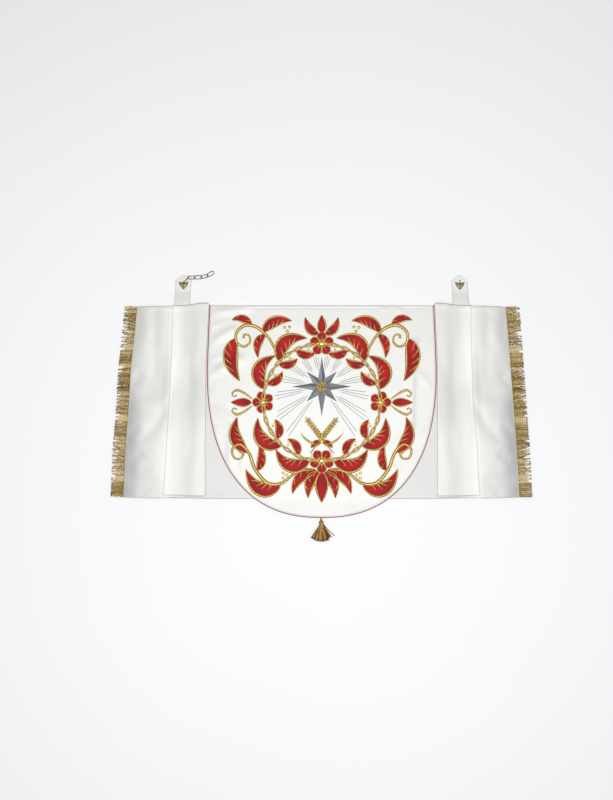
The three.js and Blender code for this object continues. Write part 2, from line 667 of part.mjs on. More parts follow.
// the bail hangs in the eye and slopes down to the first link
const eyeAt = new THREE.Vector3(CLASPS.left.x, CLASPS.left.y + ARCH_Y, ARCH_TOP_Z);
const dip = Math.asin((ARCH_TOP_Z - BAIL_END_Z) / BAIL_REACH);
const bailWay = new THREE.Vector3(
  Math.cos(rad(BAIL_HEADING)) * Math.cos(dip),
  Math.sin(rad(BAIL_HEADING)) * Math.cos(dip),
  -Math.sin(dip),
);
const bailEnd = eyeAt.clone().addScaledVector(bailWay, BAIL_REACH);
const bail = add(
  'chain_bail',
  ovalRing(BAIL_REACH / 2 + BAIL_HALF_WIDTH + BAIL_WIRE_R, BAIL_HALF_WIDTH + BAIL_WIRE_R, BAIL_WIRE_R, 8, 16),
  oldBrass,
);
place(bail, eyeAt.clone().lerp(bailEnd, 0.5), bailWay, new THREE.Vector3(0, 0, 1));

// the links run on from the bail along the surface, each leaning the other way
const LINK_REST_Z = (LINK_HALF_WIDTH - LINK_WIRE_R) * Math.sin(rad(LINK_ROLL)) + LINK_WIRE_R;
const halfPitch = LINK_HALF_LENGTH - 2 * LINK_WIRE_R - LINK_SLACK / 2;
let joint = bailEnd.clone().addScaledVector(bailWay, -BAIL_PLAY);
LINK_HEADINGS.forEach((heading, k) => {
  const fall = Math.asin((joint.z - LINK_REST_Z) / (2 * halfPitch));
  const along = new THREE.Vector3(
    Math.cos(rad(heading)) * Math.cos(fall),
    Math.sin(rad(heading)) * Math.cos(fall),
    -Math.sin(fall),
  );
  const level = new THREE.Vector3(-Math.sin(rad(heading)), Math.cos(rad(heading)), 0);
  const up = along.clone().cross(level);
  const roll = rad(k % 2 === 0 ? -LINK_ROLL : LINK_ROLL);
  const across = level.clone().multiplyScalar(Math.cos(roll)).addScaledVector(up, Math.sin(roll));
  const link = add(`chain_link_${k + 1}`, ovalRing(LINK_HALF_LENGTH, LINK_HALF_WIDTH, LINK_WIRE_R, 8, 20), oldBrass);
  place(link, joint.clone().addScaledVector(along, halfPitch), along, across);
  joint = joint.clone().addScaledVector(along, 2 * halfPitch);
});

export default veil;
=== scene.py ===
"""A humeral veil laid out face up, as it looks: satin strip folded into a box pleat at each side,
hood panel with its needlework and piped edge, gold fringes and tassel, tabs, clasps and chain.

Tables are in millimetres in the cloth's own drawing: x along the strip, y up the cloth, z off the
surface. put() moves them into the shared frame and into metres.
"""

import math

import bpy
import numpy as np
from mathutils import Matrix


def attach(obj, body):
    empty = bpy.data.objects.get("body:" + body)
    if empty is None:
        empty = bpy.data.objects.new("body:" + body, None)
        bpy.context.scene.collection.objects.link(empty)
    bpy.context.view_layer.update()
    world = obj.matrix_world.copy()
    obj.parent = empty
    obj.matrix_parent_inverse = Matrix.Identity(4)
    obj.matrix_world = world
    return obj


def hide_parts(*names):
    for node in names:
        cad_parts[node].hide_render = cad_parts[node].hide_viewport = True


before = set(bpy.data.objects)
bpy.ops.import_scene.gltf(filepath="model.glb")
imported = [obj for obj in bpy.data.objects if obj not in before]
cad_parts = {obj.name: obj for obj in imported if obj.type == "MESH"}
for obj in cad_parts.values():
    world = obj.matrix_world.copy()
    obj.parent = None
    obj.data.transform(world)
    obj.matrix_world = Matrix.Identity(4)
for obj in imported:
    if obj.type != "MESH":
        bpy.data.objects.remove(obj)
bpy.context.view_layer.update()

SHIFT = np.array([0.46, -0.65, 0.0])


def put(points):
    return (np.asarray(points, float) + SHIFT) * 0.001


# ------------------------------------------------------------------------------ small helpers
def smooth(a, b, v):
    t = np.clip((np.asarray(v, float) - a) / (b - a), 0, 1)
    return t * t * (3 - 2 * t)


def lerp(a, b, t):
    return a + (b - a) * t


def ease(xs, ys, x):
    """Smooth curve through a table that never overshoots its rows."""
    xs, ys = np.asarray(xs, float), np.asarray(ys, float)
    if xs[0] > xs[-1]:
        xs, ys = xs[::-1], ys[::-1]
    h = np.diff(xs)
    d = np.diff(ys) / h
    m = np.zeros_like(ys)
    for i in range(1, len(xs) - 1):
        if d[i - 1] * d[i] > 0:
            w1, w2 = 2 * h[i] + h[i - 1], h[i] + 2 * h[i - 1]
            m[i] = (w1 + w2) / (w1 / d[i - 1] + w2 / d[i])
    m[0], m[-1] = d[0], d[-1]
    x = np.clip(np.asarray(x, float), xs[0], xs[-1])
    i = np.clip(np.searchsorted(xs, x) - 1, 0, len(xs) - 2)
    t = (x - xs[i]) / h[i]
    return (
        (2 * t**3 - 3 * t**2 + 1) * ys[i]
        + (t**3 - 2 * t**2 + t) * h[i] * m[i]
        + (-2 * t**3 + 3 * t**2) * ys[i + 1]
        + (t**3 - t**2) * h[i] * m[i + 1]
    )


def uneven(x, y, cell, seed):
    """Soft unevenness between -0.5 and 0.5."""
    g = np.random.default_rng(seed).random((64, 64))
    xs, ys = np.asarray(x, float) / cell, np.asarray(y, float) / cell
    i, j = np.floor(xs).astype(int), np.floor(ys).astype(int)
    fx, fy = xs - i, ys - j
    fx, fy = fx * fx * (3 - 2 * fx), fy * fy * (3 - 2 * fy)
    a, b = g[i % 64, j % 64], g[(i + 1) % 64, j % 64]
    c, d = g[i % 64, (j + 1) % 64], g[(i + 1) % 64, (j + 1) % 64]
    return (a * (1 - fx) + b * fx) * (1 - fy) + (c * (1 - fx) + d * fx) * fy - 0.5


def away(x, y, line):
    best = None
    for (ax, ay), (bx, by) in zip(line[:-1], line[1:]):
        ux, uy = bx - ax, by - ay
        t = np.clip(((x - ax) * ux + (y - ay) * uy) / (ux * ux + uy * uy), 0, 1)
        d = np.hypot(x - ax - t * ux, y - ay - t * uy)
        best = d if best is None else np.minimum(best, d)
    return best


def creases(x, y, rows):
    """Soft ridges (height above nought) and troughs, each along its own line."""
    total = np.zeros(np.broadcast(x, y).shape)
    for line, height, spread in rows:
        total = total + height * np.exp(-((away(x, y, line) / spread) ** 2))
    return total


def bezier(control, n):
    t = np.linspace(0, 1, n)[:, None]
    rows = [np.ones((n, 1)) * np.asarray(c, float)[None, :] for c in control]
    while len(rows) > 1:
        rows = [a * (1 - t) + b * t for a, b in zip(rows[:-1], rows[1:])]
    return rows[0]


def through(points, n, closed=False):
    """Curve through the points, evenly stepped."""
    p = np.asarray(points, float)
    k = len(p)
    fine = []
    spans = k if closed else k - 1
    for i in range(spans):
        if closed:
            q = [p[(i + j) % k] for j in (-1, 0, 1, 2)]
        else:
            q = [p[max(0, i - 1)], p[i], p[i + 1], p[min(k - 1, i + 2)]]
        t = np.linspace(0, 1, 24, endpoint=False)[:, None]
        fine.append(
            0.5
            * (
                2 * q[1]
                + (q[2] - q[0]) * t
                + (2 * q[0] - 5 * q[1] + 4 * q[2] - q[3]) * t**2
                + (3 * q[1] - q[0] - 3 * q[2] + q[3]) * t**3
            )
        )
    fine.append(p[:1] if closed else p[-1:])
    fine = np.concatenate(fine)
    run = np.concatenate([[0], np.cumsum(np.linalg.norm(np.diff(fine, axis=0), axis=1))])
    at = np.linspace(0, run[-1], n + 1)[:-1] if closed else np.linspace(0, run[-1], n)
    return np.stack([np.interp(at, run, fine[:, c]) for c in range(p.shape[1])], axis=1)


class Heap:
    """Points and faces gathered for one mesh."""

    def __init__(self):
        self.points, self.faces, self.uvs, self.shades, self.count = [], [], [], [], 0

    def add(self, points, faces, uv=None, shade=0.5):
        points = np.asarray(points, float).reshape(-1, 3)
        n = len(points)
        self.points.append(points)
        self.faces.append(np.asarray(faces, np.int64) + self.count)
        self.uvs.append(np.zeros((n, 2)) if uv is None else np.asarray(uv, float).reshape(-1, 2))
        self.shades.append(np.broadcast_to(np.asarray(shade, float).ravel(), (n,)))
        self.count += n

    def make(self, name, mat):
        co = put(np.concatenate(self.points)).astype(np.float32)
        loops = np.concatenate([f.ravel() for f in self.faces]).astype(np.int32)
        totals = np.concatenate([np.full(len(f), f.shape[1]) for f in self.faces])
        starts = np.concatenate([[0], np.cumsum(totals)[:-1]]).astype(np.int32)
        mesh = bpy.data.meshes.new(name)
        mesh.vertices.add(len(co))
        mesh.vertices.foreach_set("co", co.ravel())
        mesh.loops.add(len(loops))
        mesh.loops.foreach_set("vertex_index", loops)
        mesh.polygons.add(len(totals))
        mesh.polygons.foreach_set("loop_start", starts)
        mesh.polygons.foreach_set("use_smooth", np.ones(len(totals), bool))
        layer = mesh.uv_layers.new(name="thread")
        layer.data.foreach_set("uv", np.concatenate(self.uvs)[loops].astype(np.float32).ravel())
        mesh.update(calc_edges=True)
        mesh.validate()
        shade = mesh.attributes.new("shade", "FLOAT", "POINT")
        shade.data.foreach_set("value", np.concatenate(self.shades).astype(np.float32))
        mesh.materials.append(mat)
        obj = bpy.data.objects.new(name, mesh)
        bpy.context.scene.collection.objects.link(obj)
        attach(obj, "root")
        return obj


def shell(heap, upper, lower, uv, ring=False, shade=0.5):
    """Closed thin sheet between two like grids; the upper one faces up when its rows run along
    x and its columns run down y. A ring sheet goes round in its rows."""
    rows, cols = upper.shape[:2]
    n = rows * cols
    ids = np.arange(n).reshape(rows, cols)
    if ring:
        ids = np.concatenate([ids, ids[:1]])
    a, b, c, d = ids[:-1, :-1], ids[:-1, 1:], ids[1:, 1:], ids[1:, :-1]
    top = np.stack([a, b, c, d], -1).reshape(-1, 4)
    faces = [top, top[:, ::-1] + n]

    def rim(line):
        p, q = line[:-1], line[1:]
        faces.append(np.stack([p, q, q + n, p + n], -1))

    rim(ids[:, -1])
    rim(ids[::-1, 0])
    if not ring:
        rim(ids[0, :])
        rim(ids[-1, ::-1])
    heap.add(
        np.concatenate([upper.reshape(-1, 3), lower.reshape(-1, 3)]),
        np.concatenate(faces),
        np.concatenate([uv.reshape(-1, 2)] * 2),
        shade,
    )


def strands(heap, paths, radius, sides=3, shade=0.5, closed=False):
    """Many threads at once: paths (threads, steps, 3), radius (threads, steps)."""
    m, n = paths.shape[:2]
    radius = np.broadcast_to(radius, (m, n))
    if closed:
        along = np.roll(paths, -1, 1) - np.roll(paths, 1, 1)
    else:
        along = np.gradient(paths, axis=1)
    along /= np.linalg.norm(along, axis=2, keepdims=True) + 1e-12
    up = np.zeros_like(along)
    up[..., 2] = 1
    steep = np.abs(along[..., 2]) > 0.97
    up[steep] = (1, 0, 0)
    side = np.cross(up, along)
    side /= np.linalg.norm(side, axis=2, keepdims=True) + 1e-12
    over = np.cross(along, side)
    a = 2 * np.pi * (np.arange(sides) + 0.5) / sides
    ring = paths[:, :, None, :] + radius[:, :, None, None] * (
        side[:, :, None, :] * np.cos(a)[None, None, :, None]
        + over[:, :, None, :] * np.sin(a)[None, None, :, None]
    )
    ids = np.arange(m * n * sides).reshape(m, n, sides)
    nxt = np.roll(ids, -1, 2)
    if closed:
        here, there = ids, np.roll(ids, -1, 1)
        here2, there2 = nxt, np.roll(nxt, -1, 1)
    else:
        here, there, here2, there2 = ids[:, :-1], ids[:, 1:], nxt[:, :-1], nxt[:, 1:]
    quads = np.stack([here, here2, there2, there], -1).reshape(-1, 4)
    run = np.concatenate(
        [np.zeros((m, 1)), np.cumsum(np.linalg.norm(np.diff(paths, axis=1), axis=2), axis=1)], 1
    )
    uv = np.stack(
        [
            np.broadcast_to(run[:, :, None], (m, n, sides)) * 0.001,
            np.broadcast_to(np.arange(sides) / sides * 0.002, (m, n, sides)),
        ],
        -1,
    )
    shade = np.asarray(shade, float)
    if shade.ndim == 1:
        shade = shade[:, None]
    shade = np.broadcast_to(shade, (m, n))[:, :, None] * np.ones((1, 1, sides))
    heap.add(ring.reshape(-1, 3), quads, uv, shade)


def wire(heap, path, radius, sides=10, closed=False, shade=0.5):
    """One bent wire with rounded ends, its section carried along without twisting."""
    path = np.asarray(path, float)
    n = len(path)
    radius = np.broadcast_to(np.asarray(radius, float), (n,)).copy()
    if closed:
        along = np.roll(path, -1, 0) - np.roll(path, 1, 0)
    else:
        along = np.gradient(path, axis=0)
    along /= np.linalg.norm(along, axis=1, keepdims=True)
    side = np.zeros_like(path)
    first = np.cross([0.13, 0.21, 0.97], along[0])
    if np.linalg.norm(first) < 0.2:
        first = np.cross([1, 0, 0], along[0])
    side[0] = first / np.linalg.norm(first)
    for i in range(1, n):
        s = side[i - 1] - along[i] * np.dot(side[i - 1], along[i])
        side[i] = s / np.linalg.norm(s)
    over = np.cross(along, side)
    if closed:
        lag = math.atan2(np.dot(side[-1], over[0]), np.dot(side[-1], side[0]))
        turn_by = -lag * np.arange(n) / n
        side, over = (
            side * np.cos(turn_by)[:, None] + over * np.sin(turn_by)[:, None],
            over * np.cos(turn_by)[:, None] - side * np.sin(turn_by)[:, None],
        )
    a = 2 * np.pi * np.arange(sides) / sides
    ring = path[:, None, :] + radius[:, None, None] * (
        side[:, None, :] * np.cos(a)[None, :, None] + over[:, None, :] * np.sin(a)[None, :, None]
    )
    if not closed:
        caps = []
        for at, way in ((0, -1), (n - 1, 1)):
            for f, g in ((0.72, 0.62), (0.2, 0.95)):
                caps.append(
                    path[at]
                    + along[at] * way * g * radius[at]
                    + (ring[at] - path[at]) * f
                )
        ring = np.concatenate([[caps[1], caps[0]], ring, [caps[2], caps[3]]])
        n += 4
    ids = np.arange(n * sides).reshape(n, sides)
    nxt = np.roll(ids, -1, 1)
    if closed:
        quads = np.stack([ids, nxt, np.roll(nxt, -1, 0), np.roll(ids, -1, 0)], -1)
    else:
        quads = np.stack([ids[:-1], nxt[:-1], nxt[1:], ids[1:]], -1)
    u = np.arange(n)[:, None] * np.ones((1, sides)) * 0.001
    v = np.ones((n, 1)) * np.arange(sides)[None, :] / sides * 0.004
    heap.add(ring.reshape(-1, 3), quads.reshape(-1, 4), np.stack([u, v], -1), shade)
    if not closed:
        middle = np.stack([ring[0].mean(0), ring[-1].mean(0)])
        start = heap.count
        k = np.arange(sides)
        base = start - n * sides
        tri0 = np.stack([np.full(sides, start), base + np.roll(k, -1), base + k], -1)
        tri1 = np.stack(
            [np.full(sides, start + 1), base + (n - 1) * sides + k, base + (n - 1) * sides + np.roll(k, -1)],
            -1,
        )
        heap.add(middle, np.concatenate([tri0, tri1]) - start, None, shade)


# ------------------------------------------------------------------------------ materials
def material(name):
    m = bpy.data.materials.new(name)
    m.use_nodes = True
    return m, m.node_tree.nodes, m.node_tree.links, m.node_tree.nodes["Principled BSDF"]


def ramp(nodes, stops):
    r = nodes.new("ShaderNodeValToRGB")
    els = r.color_ramp.elements
    while len(els) > 1:
        els.remove(els[-1])
    els[0].position, els[0].color = stops[0][0], (*stops[0][1], 1)
    for at, c in stops[1:]:
        els.new(at).color = (*c, 1)
    return r


def noise(nodes, links, vector, scale, detail=3.0, rough=0.55):
    n = nodes.new("ShaderNodeTexNoise")
    n.inputs["Scale"].default_value = scale
    n.inputs["Detail"].default_value = detail
    n.inputs["Roughness"].default_value = rough
    links.new(vector, n.inputs["Vector"])
    return n.outputs["Fac"]


def bands(nodes, links, vector, pitch, way, distort=0.0, detail_scale=1.0):
    """Threads side by side; pitch in metres."""
    w = nodes.new("ShaderNodeTexWave")
    w.wave_type, w.bands_direction = "BANDS", way
    w.inputs["Scale"].default_value = (0.628 if way == "DIAGONAL" else 0.314) / pitch
    w.inputs["Distortion"].default_value = distort
    w.inputs["Detail"].default_value = 1.5
    w.inputs["Detail Scale"].default_value = detail_scale
    links.new(vector, w.inputs["Vector"])
    return w.outputs["Fac"]


def sums(nodes, links, a, b, how="ADD"):
    m = nodes.new("ShaderNodeMath")
    m.operation = how
    links.new(a, m.inputs[0])
    links.new(b, m.inputs[1])
    return m.outputs[0]


def bumped(nodes, links, face, height, strength, distance):
    b = nodes.new("ShaderNodeBump")
    b.inputs["Strength"].default_value = strength
    b.inputs["Distance"].default_value = distance
    links.new(height, b.inputs["Height"])
    links.new(b.outputs["Normal"], face.inputs["Normal"])


def satin(name, dark, light, rough, gloss, pitch=0.00055, bump=0.16):
    m, nodes, links, face = material(name)
    uv = nodes.new("ShaderNodeUVMap")
    uv.uv_map = "thread"
    where = nodes.new("ShaderNodeTexCoord")
    tone = noise(nodes, links, where.outputs["Object"], 14.0, 4.0)
    c = ramp(nodes, [(0.32, dark), (0.68, light)])
    links.new(tone, c.inputs["Fac"])
    # painted shade and painted highlight: the base colour is multiplied by a ramp on the 'shade' attribute, darker
    # below 0.5 where shade is painted, lighter above it where light is painted
    own = nodes.new("ShaderNodeAttribute")
    own.attribute_name = "shade"
    painted_light_ramp = ramp(nodes, [(0.0, (0.63, 0.63, 0.665)), (0.5, (0.9, 0.9, 0.9)), (1.0, (1.0, 1.0, 1.0))])
    links.new(own.outputs["Fac"], painted_light_ramp.inputs["Fac"])
    mix = nodes.new("ShaderNodeMix")
    mix.data_type, mix.blend_type = "RGBA", "MULTIPLY"
    mix.inputs["Factor"].default_value = 1.0
    links.new(c.outputs["Color"], mix.inputs[6])
    links.new(painted_light_ramp.outputs["Color"], mix.inputs[7])
    links.new(mix.outputs[2], face.inputs["Base Color"])
    twill = bands(nodes, links, uv.outputs["UV"], pitch, "DIAGONAL", 0.6, 2.0)
    weft = bands(nodes, links, uv.outputs["UV"], pitch * 1.7, "Y", 0.4, 2.0)
    slub = noise(nodes, links, uv.outputs["UV"], 260.0, 2.0)
    height = sums(nodes, links, sums(nodes, links, twill, weft), slub)
    bumped(nodes, links, face, height, bump, 0.00012)
    face.inputs["Roughness"].default_value = rough
    face.inputs["Specular IOR Level"].default_value = gloss
    face.inputs["Sheen Weight"].default_value = 0.08
    face.inputs["Sheen Roughness"].default_value = 0.4
    return m


def thread(name, stops, rough, metal, pitch, sheen=0.0, slant=False, streak=0.35, bump=0.5, deep=0.00022, gloss=0.5):
    """Stitched or twisted thread: its tone from the strand's own shade and from streaks."""
    m, nodes, links, face = material(name)
    uv = nodes.new("ShaderNodeUVMap")
    uv.uv_map = "thread"
    own = nodes.new("ShaderNodeAttribute")
    own.attribute_name = "shade"
    lay = bands(nodes, links, uv.outputs["UV"], pitch, "DIAGONAL" if slant else "X", 1.2, 3.0)
    patch = noise(nodes, links, uv.outputs["UV"], 420.0, 2.0)
    mix = nodes.new("ShaderNodeMix")
    mix.data_type = "FLOAT"
    mix.inputs["Factor"].default_value = streak
    links.new(own.outputs["Fac"], mix.inputs["A"])
    links.new(sums(nodes, links, lay, patch, "MULTIPLY"), mix.inputs["B"])
    c = ramp(nodes, stops)
    links.new(mix.outputs["Result"], c.inputs["Fac"])
    links.new(c.outputs["Color"], face.inputs["Base Color"])
    bumped(nodes, links, face, lay, bump, deep)
    face.inputs["Roughness"].default_value = rough
    face.inputs["Metallic"].default_value = metal
    face.inputs["Specular IOR Level"].default_value = gloss
    face.inputs["Sheen Weight"].default_value = sheen
    return m


def old_metal(name, stops, rough):
    """Worn metal, darker where its own shade says so."""
    m, nodes, links, face = material(name)
    where = nodes.new("ShaderNodeTexCoord")
    tone = noise(nodes, links, where.outputs["Object"], 420.0, 5.0, 0.65)
    own = nodes.new("ShaderNodeAttribute")
    own.attribute_name = "shade"
    mix = nodes.new("ShaderNodeMix")
    mix.data_type = "FLOAT"
    mix.inputs["Factor"].default_value = 0.35
    links.new(own.outputs["Fac"], mix.inputs["A"])
    links.new(tone, mix.inputs["B"])
    c = ramp(nodes, stops)
    links.new(mix.outputs["Result"], c.inputs["Fac"])
    links.new(c.outputs["Color"], face.inputs["Base Color"])
    spots = noise(nodes, links, where.outputs["Object"], 900.0, 3.0)
    r = nodes.new("ShaderNodeMapRange")
    r.inputs["To Min"].default_value = rough - 0.08
    r.inputs["To Max"].default_value = rough + 0.14
    links.new(spots, r.inputs["Value"])
    links.new(r.outputs["Result"], face.inputs["Roughness"])
    bumped(nodes, links, face, tone, 0.35, 0.00015)
    face.inputs["Metallic"].default_value = 0.6
    return m


VEIL_SATIN = satin("veil_satin", (0.767, 0.767, 0.733), (0.794, 0.794, 0.761), 0.42, 0.78)
HOOD_SATIN = satin("hood_satin_white", (0.794, 0.794, 0.767), (0.822, 0.822, 0.794), 0.42, 0.78)
GOLD = thread(
    "gold_stitch",
    [(0.0, (0.10, 0.06, 0.008)), (0.3, (0.34, 0.21, 0.035)), (0.58, (0.64, 0.44, 0.11)), (0.8, (0.84, 0.67, 0.28)), (1.0, (0.95, 0.86, 0.55))],
    0.3, 0.55, 0.0011, streak=0.3,
)
RED = thread(
    "red_stitch",
    [(0.0, (0.13, 0.002, 0.006)), (0.4, (0.33, 0.005, 0.01)), (0.7, (0.55, 0.010, 0.016)), (1.0, (0.72, 0.035, 0.04))],
    0.62, 0.0, 0.0036, slant=True, streak=0.5, gloss=0.2,
)
SILVER = thread(
    "silver_stitch",
    [(0.0, (0.085, 0.09, 0.10)), (0.4, (0.17, 0.18, 0.20)), (0.75, (0.30, 0.31, 0.335)), (1.0, (0.52, 0.53, 0.55))],
    0.42, 0.3, 0.0013, streak=0.4,
)
CORD_RED = thread(
    "cord_red",
    [(0.0, (0.17, 0.007, 0.011)), (0.5, (0.43, 0.014, 0.022)), (1.0, (0.62, 0.035, 0.044))],
    0.6, 0.0, 0.0007, streak=0.4, gloss=0.2,
)
# its cream and near-white top stops colour the pale cords, painted highlights of the metal thread
FRINGE = thread(
    "fringe_gold",
    [(0.0, (0.09, 0.06, 0.015)), (0.22, (0.26, 0.17, 0.042)), (0.45, (0.49, 0.32, 0.08)), (0.7, (0.76, 0.55, 0.17)), (0.88, (0.95, 0.87, 0.60)), (1.0, (0.99, 0.97, 0.88))],
    0.36, 0.28, 0.0012, streak=0.14, bump=0.3, gloss=0.42,
)
TASSEL = thread(
    "tassel_gold",
    [(0.0, (0.075, 0.036, 0.011)), (0.3, (0.27, 0.13, 0.03)), (0.6, (0.50, 0.285, 0.058)), (1.0, (0.86, 0.63, 0.26))],
    0.4, 0.4, 0.0012, streak=0.12, bump=0.3, gloss=0.3,
)
SEWING = thread(
    "sewing_white",
    [(0.0, (0.56, 0.55, 0.52)), (1.0, (0.78, 0.77, 0.74))],
    0.55, 0.0, 0.0006, sheen=0.2, streak=0.3,
)
OLD_GOLD = old_metal(
    "clasp_old_gold",
    [(0.1, (0.035, 0.028, 0.012)), (0.32, (0.12, 0.10, 0.042)), (0.55, (0.33, 0.29, 0.145)), (0.8, (0.56, 0.50, 0.29))], 0.5,
)
BROWN_METAL = old_metal(
    "chain_brown", [(0.2, (0.05, 0.02, 0.004)), (0.5, (0.21, 0.095, 0.018)), (0.8, (0.45, 0.235, 0.05))], 0.5
)

# ------------------------------------------------------------------------------ the strip
CLOTH_T = 1.2
LEVEL = [0.6 + 1.8 * n for n in range(5)]
HIDDEN_OUT, HIDDEN_IN = 12.0, 14.0
FOLDS = {  # y, inner fold, outer fold, cut end, outwards from the middle
    "left": [
        (283, 314.9, 416.4, 515.0), (214.5, 318.4, 418.6, 521.5), (158, 321.4, 420.0, 527.4),
        (102.5, 323.6, 422.3, 533.3), (-9.5, 324.1, 428.0, 539.7), (-121.5, 325.8, 435.2, 548.1),
        (-191.5, 325.0, 439.4, 551.4), (-258.6, 325.0, 444.6, 554.8),
    ],
    "right": [
        (283, 315.2, 417.9, 513.4), (214.5, 318.6, 417.9, 519.4), (158, 321.3, 419.3, 523.8),
        (102.5, 322.5, 420.7, 528.2), (-9.5, 322.5, 424.3, 536.6), (-121.5, 322.7, 434.7, 544.9),
        (-191.5, 322.7, 437.9, 549.2), (-258.6, 322.7, 442.8, 552.8),
    ],
}
EDGES = {  # upper and lower edge of the cloth at each of its folds
    "left": {
        "middle": (283, -258.6), "hidden_out": (281, -256.6), "inner": (287.4, -250.3), "outer": (282, -247),
        "hidden_in": (279.6, -252.8), "emerge": (281.3, -257.2), "end": (280.3, -254.5),
    },
    "right": {
        "middle": (283, -258.6), "hidden_out": (281, -256.6), "inner": (287.2, -250.5), "outer": (282.0, -248.5),
        "hidden_in": (279.6, -254.6), "emerge": (282, -257.2), "end": (279.4, -254.5),
    },
}
FACE_U = [0, 0.06, 0.15, 0.25, 0.36, 0.5, 0.64, 0.8, 0.92, 1]
FACE_LIFT = {  # across the pleat's face, from its inner to its outer fold, at three heights
    "upper": [4.2, 4.15, 4.05, 3.65, 2.9, 2.2, 2.05, 2.6, 3.5, 4.1],
    "middle": [5.4, 5.3, 5.0, 4.3, 3.1, 1.7, 1.15, 1.05, 1.3, 1.65],
    "lower": [2.8, 2.8, 2.75, 2.6, 2.2, 1.75, 1.5, 1.95, 2.6, 3.2],
}
RISE_U = [0, 0.05, 0.13, 0.24, 0.33, 0.42, 0.5, 0.64, 0.8, 0.92, 1]
FACE_RISE = [0, 1.4, 2.4, 2.7, 1.9, 0.4, -0.3, -0.4, -0.3, 0, 0]
END_U = [0, 0.1, 0.2, 0.32, 0.46, 0.6, 0.71, 0.8, 0.88, 0.94, 1]
END_LIFT = [3.6, 3.9, 4.6, 5.3, 5.5, 5.5, 5.3, 4.8, 3.8, 2.5, 0.7]
PRESSED = {"inner": 0.22, "outer": 0.14}  # how flat the two visible folds are pressed, 1 for a round turn

FACE_CREASES = {
    "left": [
        ([(352, 286), (346, 215), (353, 140)], 0.35, 13), ([(372, 120), (362, 20), (366, -60)], -0.3, 14),
        ([(405, 90), (412, 30), (420, -60)], 0.25, 14), ([(350, -90), (356, -180), (352, -240)], 0.3, 15),
        ([(384, -130), (394, -200)], -0.25, 15),
    ],
    "right": [
        ([(352, 286), (348, 200), (356, 120)], 0.35, 13), ([(370, 150), (364, 40), (370, -40)], -0.3, 14),
        ([(404, 90), (410, 20), (418, -70)], 0.25, 14), ([(346, -100), (354, -190), (350, -240)], 0.3, 15),
        ([(386, -110), (392, -210)], -0.25, 15),
    ],
}
END_CREASES = {
    "left": [
        ([(506, 40), (510, -60), (514, -160), (518, -240)], 0.5, 22), ([(422, 12), (441, -14), (468, -58), (497, -86)], -0.9, 15),
        ([(452, 36), (480, -16), (506, -48)], 0.3, 20),
        ([(514, 84), (524, 74)], -1.9, 14), ([(522, -62), (532, -68)], -1.5, 14), ([(512, -136), (524, -142)], -1.8, 15),
        ([(468, 262), (466, 90)], -0.6, 13), ([(446, 14), (530, 2)], 0.8, 20),
        ([(470, 160), (522, 178)], 0.6, 20), ([(470, -190), (540, -214)], 0.7, 20), ([(500, -240), (470, -206)], -0.6, 14),
        ([(498, 262), (486, 214), (500, 170)], 0.5, 14), ([(515, 240), (520, 205)], -1.2, 13),
    ],
    "right": [
        ([(502, 40), (506, -60), (511, -160), (516, -240)], 0.5, 22), ([(418, 12), (438, -14), (464, -58), (493, -86)], -0.9, 15),
        ([(450, 36), (476, -16), (502, -48)], 0.3, 20),
        ([(512, 84), (521, 75)], -1.9, 14), ([(516, -62), (526, -68)], -1.5, 14), ([(506, -136), (518, -142)], -1.8, 15),
        ([(464, 258), (462, 90)], -0.6, 13), ([(446, 10), (526, 2)], 0.8, 20),
        ([(468, 150), (518, 172)], 0.6, 20), ([(468, -186), (536, -212)], 0.7, 20), ([(494, -238), (466, -204)], -0.6, 14),
        ([(494, 258), (484, 210), (496, 168)], 0.5, 14), ([(510, 236), (514, 200)], -1.2, 13),
    ],
}

RUN = 541.6
LEAD = np.array([0, 0.45, 1.1, 2.6, 5.5, 9.5, 11.4, 12.4, 13.4, 16.5])
DOWN = np.concatenate([LEAD, np.linspace(21, RUN - 21, 72), RUN - LEAD[::-1]])
V = DOWN / RUN
FROM_EDGE = np.minimum(DOWN, RUN - DOWN)
THICK = (
    1.15 + 0.25 * (1 - smooth(10.0, 16.0, FROM_EDGE))
) * np.interp(FROM_EDGE, [0, 0.45, 1.1, 2.6], [0.25, 0.72, 0.95, 1.0])


def turn(tip, z0, z1, way, steps, pressed=1.0):
    r = np.abs(z1 - z0) / 2 * pressed
    middle = tip - way * (r + CLOTH_T / 2)
    a = np.linspace(-np.pi / 2, np.pi / 2, steps)[:, None]
    return middle + way * r * np.cos(a), (z0 + z1) / 2 + (z1 - z0) / 2 * np.sin(a)


def face_lift(u, v):
    """Lift of the pleat's face: u across it in rows, v down it in columns."""
    low, mid = smooth(0.55, 0.74, v), smooth(0.28, 0.46, v)
    rows = [ease(FACE_U, FACE_LIFT[k], u)[:, None] for k in ("upper", "middle", "lower")]
    return lerp(lerp(rows[0], rows[1], mid[None, :]), rows[2], low[None, :])


def fold_lines(side, v):
    y = lerp(283.0, -258.6, v)
    rows = np.array(FOLDS[side], float)
    return [ease(rows[:, 0], rows[:, k], y) for k in (1, 2, 3)]


